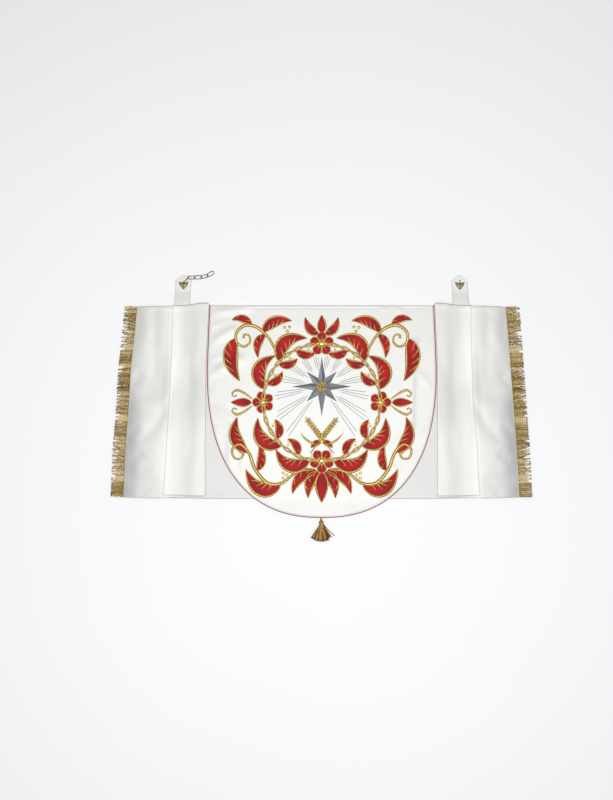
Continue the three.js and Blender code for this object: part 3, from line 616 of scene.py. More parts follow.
def side_section(side, v):
    """One side from the middle outwards: outward distance, height and y, a row to each line of
    the cloth, a column to each station; and which rows are the pleat's face and the end panel."""
    e = EDGES[side]
    inner, outer, end = fold_lines(side, v)
    one = np.ones_like(v)
    d, z, y, kind = [], [], [], []

    def lay(dd, zz, edges, tag):
        dd, zz = np.broadcast_arrays(np.atleast_2d(dd), np.atleast_2d(zz))
        top, bottom = np.broadcast_arrays(np.asarray(edges[0], float), np.asarray(edges[1], float))
        top, bottom = np.broadcast_to(top, (len(dd),)), np.broadcast_to(bottom, (len(dd),))
        d.append(dd)
        z.append(zz)
        y.append(lerp(top[:, None], bottom[:, None], v[None, :]))
        kind.extend([tag] * len(dd))

    def blend(a, b, t):
        return lerp(e[a][0], e[b][0], t), lerp(e[a][1], e[b][1], t)

    first_d, first_z = turn(outer - HIDDEN_OUT, LEVEL[0] * one, LEVEL[1] * one, 1, 7)
    t = np.linspace(0.012, 0.985, 40)
    lay(first_d[0] * t[:, None], LEVEL[0] * one, blend("middle", "hidden_out", smooth(0.7, 1, t)), "base")
    lay(first_d, first_z, e["hidden_out"], "hidden")
    inner_z, outer_z = LEVEL[4] + face_lift(np.array([0.0, 1.0]), v)
    second_d, second_z = turn(inner, LEVEL[1] * one, inner_z, -1, 15, PRESSED["inner"])
    t = np.linspace(0.1, 0.9, 8)[:, None]
    lay(lerp(first_d[-1], second_d[0], t), LEVEL[1] * one, blend("hidden_out", "inner", t[:, 0]), "hidden")
    lay(second_d, second_z, e["inner"], "face")
    face_a = inner + (inner_z - LEVEL[1]) / 2 * PRESSED["inner"] + CLOTH_T / 2
    face_b = outer - (outer_z - LEVEL[3]) / 2 * PRESSED["outer"] - CLOTH_T / 2
    u = np.linspace(0, 1, 58)[1:-1]
    fd = lerp(face_a, face_b, u[:, None])
    top, bottom = blend("inner", "outer", u)
    top = top + ease(RISE_U, FACE_RISE, u)
    fy = lerp(top[:, None], bottom[:, None], v[None, :])
    near = (smooth(0, 0.14, u) * smooth(1, 0.86, u))[:, None]
    lift = face_lift(u, v)
    lift = lift + near * (creases(fd, fy, FACE_CREASES[side]) + 0.55 * uneven(fd, fy * 0.45, 26, 5))
    lay(fd, LEVEL[4] + np.maximum(lift, 0.15), (top, bottom), "face")
    third_d, third_z = turn(outer, outer_z, LEVEL[3] * one, 1, 15, PRESSED["outer"])
    lay(third_d, third_z, e["outer"], "face")
    fourth_d, fourth_z = turn(inner + HIDDEN_IN, LEVEL[3] * one, LEVEL[2] * one, -1, 7)
    t = np.linspace(0.1, 0.9, 7)[:, None]
    lay(lerp(third_d[-1], fourth_d[0], t), LEVEL[3] * one, blend("outer", "hidden_in", t[:, 0]), "hidden")
    lay(fourth_d, fourth_z, e["hidden_in"], "hidden")
    start = outer - HIDDEN_OUT + 3
    t = np.linspace(0.1, 0.95, 7)[:, None]
    lay(lerp(fourth_d[-1], start, t), LEVEL[2] * one, blend("hidden_in", "emerge", 0.6 * t[:, 0]), "hidden")
    u = np.linspace(0, 1, 58)[1:]
    u = np.concatenate([u[:-1], [0.988, 0.995, 1.0]])
    pd = lerp(start, end, u[:, None])
    k = smooth(0, 0.16, u)
    top, bottom = [lerp(lerp(e["hidden_in"][n], e["emerge"][n], lerp(0.6, 1, k)), e["end"][n], np.clip((u - 0.16) / 0.84, 0, 1)) for n in (0, 1)]
    py = lerp(top[:, None], bottom[:, None], v[None, :])
    swell = 0.75 + 0.25 * np.cos(5.2 * v + 1.1) + 0.2 * np.sin(11 * v)
    near = (smooth(0, 0.16, u) * lerp(0.25, 1, smooth(1, 0.9, u)))[:, None]
    lift = ease(END_U, END_LIFT, u)[:, None] * lerp(1, swell, smooth(0, 0.3, u)[:, None])
    lift = lift + near * (creases(pd, py, END_CREASES[side]) + 0.8 * uneven(pd, py * 0.7, 46, 9 if side == "left" else 12))
    lay(pd, LEVEL[0] + np.maximum(lift, 0), (top, bottom), "end")
    return np.concatenate(d), np.concatenate(z), np.concatenate(y), kind


def strip():
    ld, lz, ly, lk = side_section("left", V)
    rd, rz, ry, rk = side_section("right", V)
    mid = lerp(283.0, -258.6, V)[None, :]
    x = np.concatenate([-ld[::-1], np.zeros((1, len(V))), rd])
    z = np.concatenate([lz[::-1], np.full((1, len(V)), LEVEL[0]), rz])
    y = np.concatenate([ly[::-1], mid, ry])
    kind = lk[::-1] + ["base"] + rk
    tx, tz = np.gradient(x, axis=0), np.gradient(z, axis=0)
    size = np.hypot(tx, tz) + 1e-9
    nx, nz = -tz / size, tx / size
    half = np.broadcast_to(THICK / 2, x.shape).copy()
    for k, f in enumerate((0.3, 0.8)):
        half[k] *= f
        half[-1 - k] *= f
    turned = 0.35 * (1 - smooth(5.0, 21.0, FROM_EDGE)) * np.sqrt(np.clip(1 - (1 - np.minimum(FROM_EDGE / 2.6, 1)) ** 2, 0, 1))
    under_hood = (np.abs(x) < 322) & (y > 240)
    shown = np.array([k in ("face", "end", "base") for k in kind])[:, None] & ~under_hood & (nz > 0.5)
    extra = np.where(shown, turned[None, :], 0)
    upper = np.stack([x + nx * (half + extra), y, z + nz * (half + extra)], -1)
    lower = np.stack([x - nx * half, y, np.maximum(z - nz * half, 0.0)], -1)
    step = np.hypot(np.diff(x, axis=0), np.diff(z, axis=0)).mean(1)
    run = np.concatenate([[0], np.cumsum(step)])
    uv = np.stack([np.broadcast_to(run[:, None], x.shape), y], -1) * 0.001
    # painted shade and light on the cloth: painted shade on the middle part, on the end panels, next to each fringe
    # over a wider band low down, across the middle of each pleat's face and as a thin painted shadow along the hems;
    # painted highlight along each pleat's outer fold and on the end panel just past it
    tag = np.array(kind)
    painted_shade_and_light = np.where(tag == "base", 0.26, np.where(tag == "end", 0.42, 0.5))[:, None] + 0 * x
    middle = len(ld)
    for side, rows_of, far in (("left", slice(0, middle), -x[:middle]), ("right", slice(middle + 1, None), x[middle + 1 :])):
        # painted shade next to the fringe, mottled, wider and deeper low down
        rim = fold_lines(side, V)[2][None, :]
        wide = lerp(14.0, 44.0, smooth(0.3, 0.75, V))[None, :] * (1 + 0.6 * uneven(y[rows_of] * 0.6, y[rows_of] * 0.2, 31, 41))
        near = np.exp(-np.clip((rim - far) / wide, 0, 9) ** 1.7) * (tag[rows_of] == "end")[:, None]
        near = near * lerp(0.3, 1.35, smooth(0.25, 0.7, V))[None, :]
        painted_shade_and_light[rows_of] -= 0.36 * near * (1 + 0.9 * uneven(y[rows_of], far * 1.5, 34, 43))
        # painted highlight along the pleat's outer fold, and painted shade across the middle of its face
        fold = fold_lines(side, V)[1][None, :]
        wide = np.interp(V, [0, 0.2, 0.36, 0.46, 0.62, 0.76, 1], [15, 19, 16, 6, 5, 9, 11])[None, :]
        painted_highlight = np.interp(V, [0, 0.12, 0.36, 0.48, 0.62, 0.74, 1], [0.45, 0.75, 0.75, 0.4, 0.3, 0.4, 0.3])[None, :] * np.exp(-(((fold - 4 - far) / wide) ** 2))
        painted_dimming = 0.09 * np.exp(-(((V - 0.48) / 0.12) ** 2))[None, :]
        painted_shade_and_light[rows_of] += (painted_highlight - painted_dimming) * (tag[rows_of] == "face")[:, None]
        # painted light on the end panel just past the outer fold, against the fold's shadow line
        painted_light_past_fold = 0.4 * np.exp(-(((far - fold) / 7.0) ** 2)) + 0.22 * np.exp(-(((far - fold) / 20.0) ** 2)) * (1 - smooth(0.3, 0.45, V))[None, :]
        painted_shade_and_light[rows_of] += painted_light_past_fold * (tag[rows_of] == "end")[:, None]
    # painted shadow: a thin dark line along the upper and lower hems
    painted_shade_and_light -= (np.where(V > 0.5, 0.5, 0.2) * np.exp(-((FROM_EDGE / 1.7) ** 2)))[None, :]
    painted_shade_and_light = np.clip(painted_shade_and_light, 0.0, 1.0)
    heap = Heap()
    shell(heap, upper, lower, uv, shade=np.concatenate([painted_shade_and_light.ravel(), painted_shade_and_light.ravel()]))
    obj = heap.make("veil_satin_strip", VEIL_SATIN)
    return obj, run[-1], upper, np.stack([nx, nz], -1), kind


veil, strip_length, strip_upper, strip_normal, strip_kind = strip()
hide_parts("veil_cloth")

# ------------------------------------------------------------------------------ the hood panel
HOOD_TOP, HOOD_WAIST, HOOD_HALF, HOOD_DROP, HOOD_POWER, NARROW = 284.2, 102.5, 320.3, 413.0, 2.37, 7.3
HEM_Y = -258.6
HOOD_T = 1.6
PUCKERS = [
    ([(-318, 88), (-228, 132)], 2.2, 13), ([(-316, 178), (-250, 214)], 2.0, 12), ([(-312, 262), (-205, 276)], 1.6, 12),
    ([(-300, -8), (-248, -40)], 1.6, 14), ([(258, 180), (250, -60)], 1.6, 10), ([(-246, -60), (-258, -150)], 1.4, 12),
]
FINE_PUCKERS = [
    ([(-313, 75), (-276, 85)], -0.5, 7), ([(-304, 43), (-262, 8)], 0.8, 8), ([(-290, -60), (-243, -83)], 0.8, 8),
    ([(-222, -93), (-222, -167)], 0.8, 8), ([(264, 150), (262, -40)], -0.5, 6), ([(196, -168), (208, -180)], 0.8, 9),
    ([(172, 278), (186, 272)], 0.7, 7), ([(206, 279), (222, 270)], 0.6, 7), ([(300, 60), (268, 96)], 0.7, 9),
    ([(296, -40), (262, -76)], 0.7, 9), ([(-60, -262), (-70, -292)], 0.5, 9), ([(70, -262), (84, -290)], 0.5, 9),
    ([(-306, 130), (-262, 150)], 0.7, 7), ([(-308, 222), (-262, 240)], 0.7, 7),
]


def hood_half(y, inset):
    t = np.maximum(0, (np.asarray(y, float) - HOOD_WAIST) / (HOOD_TOP - HOOD_WAIST))
    return HOOD_HALF - NARROW * t**1.2 - inset


def hood_curve(inset, sides, curve):
    y = np.linspace(HOOD_TOP, HOOD_WAIST, sides, endpoint=False)
    a = np.linspace(0, np.pi, curve)
    c, s = np.cos(a), np.maximum(np.sin(a), 0)
    low = np.stack(
        [
            -np.sign(c) * np.abs(c) ** (2 / HOOD_POWER) * (HOOD_HALF - inset),
            HOOD_WAIST - s ** (2 / HOOD_POWER) * (HOOD_DROP - inset),
        ],
        1,
    )
    left = np.stack([-hood_half(y, inset), y], 1)
    right = np.stack([hood_half(y, inset), y], 1)[::-1]
    return np.concatenate([left, low, right])


def hood_under(x, y, fine=True):
    x, y = np.asarray(x, float), np.asarray(y, float)
    over = 2.0 + 0.5 * np.exp(-(((y - HEM_Y - 3) / 22) ** 2))
    z = lerp(over, 0.9, smooth(HEM_Y - 8, HEM_Y - 58, y))
    near = smooth(0, 40, HOOD_HALF - np.abs(x))
    z = z + creases(x, y, PUCKERS) * near
    if fine:
        rim = smooth(0, 22, HOOD_HALF - np.abs(x)) * smooth(0, 14, HOOD_TOP - y)
        z = z + np.maximum(creases(x, y, FINE_PUCKERS) + 0.5 * uneven(x, y, 48, 21) + 0.1, -0.35) * rim
    return z


def hood_top(x, y):
    return hood_under(x, y) + HOOD_T


def evenly(points, n):
    run = np.concatenate([[0], np.cumsum(np.linalg.norm(np.diff(points, axis=0), axis=1))])
    at = np.linspace(0, run[-1], n)
    return np.stack([np.interp(at, run, points[:, k]) for k in range(points.shape[1])], 1)


def hood():
    sides = evenly(hood_curve(1.6, 60, 400), 330)
    top = np.stack([np.linspace(sides[-1, 0], sides[0, 0], 122)[1:-1], np.full(120, HOOD_TOP)], 1)
    edge = np.concatenate([sides, top])
    middle = np.array([0.0, 20.0])
    span = np.linalg.norm(edge - middle, axis=1)
    s = np.concatenate([np.linspace(0.012, 0.94, 50), [0.955, 0.966, 0.972, 0.978, 0.985, 0.991, 0.996, 1.0]])
    p = middle + (edge - middle)[:, None, :] * s[None, :, None]
    x, y = p[..., 0], p[..., 1]
    from_rim = span[:, None] * (1 - s)[None, :]
    under = hood_under(x, y)
    t = HOOD_T * np.interp(from_rim, [0, 0.7, 2.2], [0.3, 0.8, 1.0])
    t = t - 0.25 * np.exp(-(((HOOD_TOP - y - 9) / 1.4) ** 2))
    roll = 1 - np.clip((HOOD_TOP - y) / 3.0, 0, 1)
    above = np.minimum(under + t, lerp(0.5, under + HOOD_T, np.sqrt(np.clip(1 - roll**2, 0, 1))))
    upper = np.stack([x, y, above], -1)
    lower = np.stack([x, y, np.minimum(under + (HOOD_T - t) * 0.3 * (from_rim < 3), above - 0.3)], -1)
    heap = Heap()
    shell(heap, upper, lower, np.stack([x, y], -1) * 0.001, ring=True)
    n = len(edge)
    k = np.arange(n)
    last = heap.count
    for grid, flip in ((upper, False), (lower, True)):
        centre = np.array([[middle[0], middle[1], grid[:, 0, 2].mean()]])
        rim = grid[:, 0]
        tri = np.stack([np.full(n, 0), 1 + k, 1 + (k + 1) % n], -1)
        heap.add(
            np.concatenate([centre, rim]), tri[:, ::-1] if flip else tri,
            np.concatenate([centre[:, :2], rim[:, :2]]) * 0.001,
        )
    obj = heap.make("hood_satin_panel", HOOD_SATIN)
    area = 0.5 * abs(np.sum(edge[:, 0] * np.roll(edge[:, 1], -1) - edge[:, 1] * np.roll(edge[:, 0], -1))) * 1e-6
    return obj, area


hood_piece, hood_area = hood()
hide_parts("hood_panel")


def twisted(heap, path, ply, swing, pitch, sides, per_turn, rng, shade=0.5, plies=2):
    """Cord of plies laid round each other along a path (steps, 3) that stays close to level."""
    length = np.sum(np.linalg.norm(np.diff(path, axis=0), axis=1))
    n = int(length / pitch * per_turn)
    line = evenly(path, n)
    along = np.gradient(line, axis=0)
    along /= np.linalg.norm(along, axis=1, keepdims=True)
    side = np.cross([0, 0, 1], along)
    side /= np.linalg.norm(side, axis=1, keepdims=True)
    over = np.cross(along, side)
    a = 2 * np.pi * np.arange(n) / per_turn
    for k in range(plies):
        b = a + 2 * np.pi * k / plies
        p = line + swing * (side * np.cos(b)[:, None] + over * np.sin(b)[:, None])
        strands(heap, p[None], np.full((1, n), ply), sides, np.full((1, n), shade) + rng.normal(0, 0.07, (1, n)))


def piping():
    heap = Heap()
    line = evenly(hood_curve(0, 60, 500), 900)
    inner = evenly(hood_curve(1.6, 60, 500), 900)
    z = hood_under(inner[:, 0], inner[:, 1], False) + 0.8
    path = np.column_stack([line, z])
    twisted(heap, path, 0.74, 0.58, 4.2, 5, 7, np.random.default_rng(3))
    return heap.make("piping_cord", CORD_RED)


pipe = piping()
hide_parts("hood_piping")

# ------------------------------------------------------------------------------ needlework
gold, red, silver = Heap(), Heap(), Heap()


def normals(line):
    t = np.gradient(line, axis=0)
    t /= np.linalg.norm(t, axis=1, keepdims=True) + 1e-9
    return np.stack([-t[:, 1], t[:, 0]], 1)


def stitch(heap, line, width, height, across=6, lift=0.0, shade=0.6, swell=2.0, one_side=False):
    """Raised satin stitch along a line, as wide as it says, lying on the hood."""
    for flip in (1,) if one_side else (1, -1):
        p = line * [flip, 1]
        n = len(p)
        w = np.broadcast_to(np.asarray(width, float), (n,))
        t = np.linspace(-1, 1, across + 1)
        spots = p[:, None, :] + normals(p)[:, None, :] * (w / 2)[:, None, None] * t[None, :, None]
        full = np.minimum(1, w / max(1e-6, w.max() * 0.55))
        h = lift + height * full[:, None] * (1 - np.abs(t) ** swell)[None, :] ** 0.6
        h[:, 0] = h[:, -1] = -0.15
        h[0] = np.minimum(h[0], 0.1)
        h[-1] = np.minimum(h[-1], 0.1)
        z = hood_top(spots[..., 0], spots[..., 1]) + h
        ids = np.arange(n * (across + 1)).reshape(n, across + 1)
        quads = np.stack([ids[:-1, :-1], ids[1:, :-1], ids[1:, 1:], ids[:-1, 1:]], -1).reshape(-1, 4)
        run = np.concatenate([[0], np.cumsum(np.linalg.norm(np.diff(p, axis=0), axis=1))])
        uv = np.stack([run[:, None] + 0 * t[None, :], w[:, None] / 2 * t[None, :]], -1) * 0.001
        tone = np.asarray(shade, float)
        tone = (tone[:, None] if tone.ndim else tone) + 0 * h
        # painted light and shade: tone lifted along the crown and lowered at the edges, as a raised stitch is lit
        tone = tone + 0.4 * (1 - np.abs(t) ** 2)[None, :] - 0.28
        heap.add(np.concatenate([spots, z[..., None]], -1), quads, uv, tone)


def dot(heap, c, r, height, shade=0.7, one_side=False):
    for flip in (1,) if one_side or abs(c[0]) < 1e-6 else (1, -1):
        a = np.linspace(0, 2 * np.pi, 15)[:-1]
        f = np.array([1.0, 0.86, 0.55, 0.2])
        g = np.array([-0.2, 0.55, 0.88, 1.0])
        x = c[0] * flip + r * f[:, None] * np.cos(a)[None, :]
        y = c[1] + r * f[:, None] * np.sin(a)[None, :]
        z = hood_top(x, y) + height * g[:, None]
        k = len(a)
        ids = np.arange(4 * k).reshape(4, k)
        nxt = np.roll(ids, -1, 1)
        quads = np.stack([ids[:-1], nxt[:-1], nxt[1:], ids[1:]], -1).reshape(-1, 4)
        # painted light and shade: tone lighter towards the top of the dot and darker at its foot
        tone = np.full(x.shape, shade) - 0.15 + 0.25 * g[:, None]
        heap.add(np.stack([x, y, z], -1), quads, np.stack([x, y], -1) * 0.001, tone)
        heap.add(
            np.concatenate([[[c[0] * flip, c[1], z[-1].mean() + 0.02]], np.stack([x[-1], y[-1], z[-1]], -1)]),
            np.stack([np.zeros(k, int), 1 + np.arange(k), 1 + (np.arange(k) + 1) % k], -1),
            None, shade,
        )


def leaf(line, breadth, outline=6.4, fat=0.78, ribs=4, one_side=False):
    """A red leaf edged in gold, one edge broader than the other, with gold ribs across it."""
    n = len(line)
    s = np.linspace(0, 1, n)
    half = breadth / 2 * np.sin(np.pi * s**fat) ** 0.85
    nrm = normals(line)
    tone = 0.62 + 0.2 * np.sin(7 * s + breadth)
    stitch(red, line, 2 * half + 0.8, 0.7, 9, shade=tone, one_side=one_side)
    body = 0.35 + 0.65 * np.sin(np.pi * np.clip(s, 0.03, 0.97)) ** 0.8
    for k, way in enumerate((1, -1)):
        edge = line + nrm * half[:, None] * way
        stitch(gold, edge, outline * (1.0 if k else 0.72) * body, 2.9, 6, 0.3, 0.62 - 0.06 * k, one_side=one_side)
    for k in range(ribs):
        i = int(n * lerp(0.14, 0.62, k / max(1, ribs - 1)))
        j = min(n - 1, i + max(3, int(n * 0.16)))
        a, b = line[i] + nrm[i] * half[i] * 0.9, line[j] - nrm[j] * half[j] * 0.15
        bend = (a + b) / 2 + (line[j] - line[i]) * 0.22
        rib = bezier([a, bend, b], 12)
        stitch(gold, rib, np.linspace(0.62, 0.2, 12) * outline, 1.8, 4, 0.5, 0.66, one_side=one_side)


def rosette(c, size, spin, one_side=False):
    c = np.asarray(c, float)
    for k in range(5):
        a = spin + 2 * np.pi * k / 5
        way = np.array([math.cos(a), math.sin(a)])
        s = np.linspace(0, 1, 20)
        line = c + way * size * lerp(0.16, 1.0, s)[:, None]
        half = 0.37 * size * np.sin(np.pi * np.clip(s**1.3, 0, 1)) ** 0.75
        nrm = np.array([-way[1], way[0]])
        stitch(red, line, 2 * half + 0.6, 0.9, 8, shade=0.5 + 0.2 * s, one_side=one_side)
        for way2 in (1, -1):
            stitch(gold, line + nrm * half[:, None] * way2, 3.4 * (0.6 + 0.4 * np.sin(np.pi * s)), 1.7, 4, 0.35, 0.6, one_side=one_side)
        stitch(gold, line[3:13], np.linspace(2.2, 0.8, 10), 1.0, 3, 0.7, 0.7, one_side=one_side)
    dot(gold, c, size * 0.24, 2.8, 0.7, one_side)
    for k in range(8):
        a = spin + 2 * np.pi * k / 8
        dot(gold, c + size * 0.33 * np.array([math.cos(a), math.sin(a)]), size * 0.07, 2.0, 0.8, one_side)


def way_of(v, degrees):
    a = math.radians(degrees)
    return np.array([v[0] * math.cos(a) - v[1] * math.sin(a), v[0] * math.sin(a) + v[1] * math.cos(a)])


def taper(n, thick, thin, body=0.5):
    s = np.linspace(0, 1, n)
    return lerp(thick, thin, smooth(body, 1, s)) * lerp(0.55, 1, smooth(0, 0.12, s))


def at_angle(c, r, degrees):
    a = math.radians(degrees)
    return np.array([c[0] + r * math.cos(a), c[1] + r * math.sin(a)])


def needlework():
    c = np.array([0.0, 12.0])
    ring = 164.0
    # the wreath's stem, two threads crossing each other all the way round
    a = np.linspace(0, 2 * np.pi, 420)
    for k, way in enumerate((1, -1)):
        r = ring + way * 3.6 * np.sin(15 * a)
        line = c + np.stack([r * np.cos(a), r * np.sin(a)], 1)
        stitch(gold, line, 5.2, 2.2, 5, 0.2, 0.52 + 0.1 * k, one_side=True)
    # broad leaves outside the stem, small ones inside it
    for a0, a1 in ((-78, -46), (-47, -14), (13, 45), (44, 77)):
        leaf(bezier([at_angle(c, ring + 2, a0), at_angle(c, ring + 62, lerp(a0, a1, 0.42)), at_angle(c, ring + 20, a1)], 40), 36, 7.4)
    for a0 in (-66, -39, 19, 42, 64):
        leaf(bezier([at_angle(c, ring - 2, a0), at_angle(c, ring - 34, a0 + 5), at_angle(c, ring - 24, a0 + 19)], 26), 21, 5.2, ribs=2)
    for angle in (-80, -52, -26, 30, 54, 76):
        for k, far in enumerate((12, 20)):
            dot(gold, at_angle(c, ring - far, angle + 2.2 * k), 3.6, 2.6, 0.72)
    for spot, spin in (((0, c[1] + ring), np.pi / 2), ((0, c[1] - ring), -np.pi / 2)):
        rosette(spot, 34, spin, True)
    rosette((ring, c[1]), 31, 0.0)
    # the star; of each point's two facets one is painted light and the other dark, as painted light and shade
    star = np.array([0.0, 56.0])
    for k in range(8):
        far = 84 if k % 2 == 0 else 60
        t = np.pi / 2 + k * np.pi / 4
        way = np.array([math.cos(t), math.sin(t)])
        for hand, tone in ((1, 0.7), (-1, 0.25)):
            notch = 27 * np.array([math.cos(t + hand * np.pi / 8), math.sin(t + hand * np.pi / 8)])
            s = np.linspace(0, 1, 26)[:, None, None]
            q = np.linspace(0, 1, 7)[None, :, None]
            spine = way * far * s
            knee = np.where(s < 0.3, notch * s / 0.3, notch + (way * far - notch) * (s - 0.3) / 0.7)
            flat = star + spine * (1 - q) + knee * q
            h = (2.8 * (1 - s[..., 0]) + 0.5) * (1 - q[..., 0]) ** 0.8 - 0.1
            z = hood_top(flat[..., 0], flat[..., 1]) + h
            ids = np.arange(26 * 7).reshape(26, 7)
            quads = np.stack([ids[:-1, :-1], ids[1:, :-1], ids[1:, 1:], ids[:-1, 1:]], -1).reshape(-1, 4)
            if hand > 0:
                quads = quads[:, :]
            else:
                quads = quads[:, ::-1]
            uv = np.stack([far * s[..., 0] + 12 * hand * q[..., 0] + 0 * h, 20 * q[..., 0] + 0 * h], -1) * 0.001
            silver.add(np.concatenate([flat, z[..., None]], -1), quads, uv, tone + 0 * h)
    for k in range(3):
        b = np.linspace(0, 2 * np.pi, 40)
        stitch(gold, star + (4 + 4.6 * k) * np.stack([np.cos(b), np.sin(b)], 1), 4.6, 1.6, 4, 2.7 - 0.6 * k, 0.7 - 0.08 * k, one_side=True)
    # its rays, as far as the wreath
    for k in range(16):
        base = 2 * np.pi * (k + 0.5) / 16
        for off in (-0.075, 0.0, 0.075):
            t = base + off
            way = np.array([math.cos(t), math.sin(t)])
            start = 46 if off == 0 else 56
            gap = star - c
            stop = -np.dot(gap, way) + math.sqrt(np.dot(gap, way) ** 2 - np.dot(gap, gap) + (ring - (36 if off else 30)) ** 2)
            if way[1] < -0.87 or stop - start < 8:
                continue
            line = np.linspace(star + way * start, star + way * stop, max(4, int((stop - start) / 6)))
            stitch(silver, line, 1.7, 0.5, 3, 0.0, 0.62, one_side=True)
    # two ears of wheat, crossed and tied
    for way in (1, -1):
        stalk = bezier([(-30 * way, -128), (-12 * way, -104), (8 * way, -78), (36 * way, -42)], 40) * [1, 1]
        stitch(gold, stalk, 3.6, 2.0, 4, 0.2, 0.5, one_side=True)
        along = np.gradient(stalk, axis=0)
        along /= np.linalg.norm(along, axis=1, keepdims=True)
        for k, i in enumerate(range(17, 39, 3)):
            for side in (34, -34):
                d = way_of(along[i], side)
                grain = np.linspace(stalk[i], stalk[i] + 15 * d, 14)
                s = np.linspace(0, 1, 14)
                stitch(gold, grain, 6.4 * np.sin(np.pi * np.clip(s, 0.04, 0.97) ** 0.9) ** 0.8, 2.6, 5, 0.4, 0.64, one_side=True)
        tip = np.linspace(stalk[-1], stalk[-1] + 16 * along[-1], 14)
        stitch(gold, tip, 6.4 * np.sin(np.pi * np.clip(np.linspace(0, 1, 14), 0.04, 0.97)) ** 0.8, 2.6, 5, 0.4, 0.64, one_side=True)
        blade = bezier([(-14 * way, -106), (-44 * way, -100), (-62 * way, -70)], 26)
        stitch(gold, blade, 7.0 * np.sin(np.pi * np.clip(np.linspace(0, 1, 26), 0.05, 0.97) ** 0.7) ** 0.9, 2.0, 5, 0.2, 0.55, one_side=True)
    leaf(bezier([(2, -100), (20, -98), (30, -116)], 22), 15, 4.4, ribs=0)
    dot(gold, (0, -98), 6.0, 4.0, 0.75, True)
    # upper corners
    scroll = through([(126, 146), (146, 188), (178, 220), (212, 228), (238, 208), (238, 180), (218, 168), (201, 180), (204, 199), (217, 201), (219, 191)], 100)
    stitch(gold, scroll, 10.5 * np.interp(np.linspace(0, 1, 100), [0, 0.12, 0.4, 0.7, 0.93, 1], [0.35, 0.7, 1.0, 0.75, 0.5, 0.75]), 3.1, 7, 0.2, 0.6)
    leaf(bezier([(164, 208), (138, 252), (84, 240)], 38), 28, 6.4)
    leaf(bezier([(240, 190), (276, 136), (230, 72)], 44), 38, 7.6)
    leaf(bezier([(196, 230), (222, 258), (252, 242)], 28), 19, 5.0, ribs=2)
    leaf(bezier([(158, 200), (190, 186), (178, 136)], 30), 22, 5.4, ribs=3)
    for spot in ((104, 222), (96, 211), (90, 223)):
        dot(gold, spot, 4.6, 2.8)
    # over the top flower
    leaf(bezier([(0, 206), (0, 228), (0, 256)], 28), 23, 5.4, ribs=0, one_side=True)
    leaf(bezier([(9, 204), (40, 210), (46, 250)], 30), 22, 5.2, ribs=2)
    # beside the side flowers
    leaf(bezier([(197, 12), (224, 12), (254, 12)], 28), 22, 5.2, ribs=0)
    for way in (1, -1):
        curl = through([(194, 12 + 9 * way), (214, 12 + 24 * way), (236, 12 + 34 * way), (250, 12 + 26 * way), (246, 12 + 16 * way), (238, 12 + 20 * way)], 50)
        stitch(gold, curl, 7.4 * np.interp(np.linspace(0, 1, 50), [0, 0.2, 0.6, 0.9, 1], [0.4, 0.8, 1, 0.5, 0.7]), 2.6, 6, 0.2, 0.6)
    # foot: a palmette and two long scrolls
    leaf(bezier([(0, -184), (0, -222), (0, -268)], 36), 34, 6.8, ribs=0, one_side=True)
    leaf(bezier([(8, -184), (42, -200), (38, -256)], 34), 27, 6.2, ribs=3)
    leaf(bezier([(14, -180), (72, -184), (82, -244)], 36), 28, 6.2, ribs=3)
    sweep = through(
        [(22, -176), (70, -184), (112, -214), (152, -214), (186, -176), (204, -130), (228, -106), (250, -118), (246, -142), (228, -146), (220, -132), (230, -124)],
        120,
    )
    stitch(gold, sweep, 11.0 * np.interp(np.linspace(0, 1, 120), [0, 0.1, 0.35, 0.7, 0.93, 1], [0.35, 0.6, 1.0, 0.8, 0.5, 0.8]), 3.2, 7, 0.2, 0.6)
    leaf(bezier([(116, -218), (180, -262), (212, -176)], 44), 38, 7.6)
    leaf(bezier([(206, -128), (262, -92), (236, -30)], 38), 32, 6.8)
    leaf(bezier([(180, -178), (158, -150), (176, -104)], 30), 22, 5.4, ribs=3)
    for spot in ((98, -192), (108, -186), (108, -200)):
        dot(gold, spot, 4.6, 2.8)


needlework()
gold_work = gold.make("needlework_gold", GOLD)
red_work = red.make("needlework_red", RED)
silver_work = silver.make("needlework_silver", SILVER)

# ------------------------------------------------------------------------------ fringes
REACH = {"left": (37.6, 38.8), "right": (40.4, 38.8)}
PARTED = {  # y, how far apart the cords have fallen
    "left": [
        (284, 0.7), (256, 0.55), (236, 0.9), (176, 0.95), (160, 0.9), (154, 0.08), (122, 0.06), (116, 0.8), (94, 0.75),
        (84, 0.4), (46, 0.4), (34, 0.7), (14, 0.4), (-20, 0.45), (-27, 0.9), (-38, 0.85), (-44, 0.06), (-82, 0.06),
        (-88, 0.85), (-104, 0.55), (-120, 0.9), (-186, 0.9), (-208, 0.9), (-213, 0.1), (-258, 0.1),
    ],
    "right": [
        (284, 0.7), (254, 0.55), (232, 0.9), (170, 0.95), (152, 0.9), (146, 0.08), (114, 0.06), (108, 0.8), (88, 0.75),
        (78, 0.4), (42, 0.4), (28, 0.7), (8, 0.4), (-24, 0.45), (-32, 0.9), (-43, 0.85), (-49, 0.06), (-86, 0.06),
        (-92, 0.85), (-108, 0.55), (-124, 0.9), (-190, 0.9), (-212, 0.9), (-217, 0.1), (-258, 0.1),
    ],
}
LEANING = {  # y, how far up the tips lean there
    "left": [(284, 0), (246, 2), (228, 11), (206, 8), (196, 0), (50, 1), (34, 9), (20, 0), (-100, 0), (-114, 11), (-136, 7), (-146, 0)],
    "right": [(284, 0), (240, 2), (222, 10), (200, 8), (190, 0), (44, 1), (28, 9), (14, 0), (-104, 0), (-118, 11), (-140, 7), (-150, 0)],
}
PAINTED_GLINT_AT = {"left": (168, -33, -202), "right": (161, -38, -206)}  # where cords are painted pale, as painted highlights where they would catch the light most
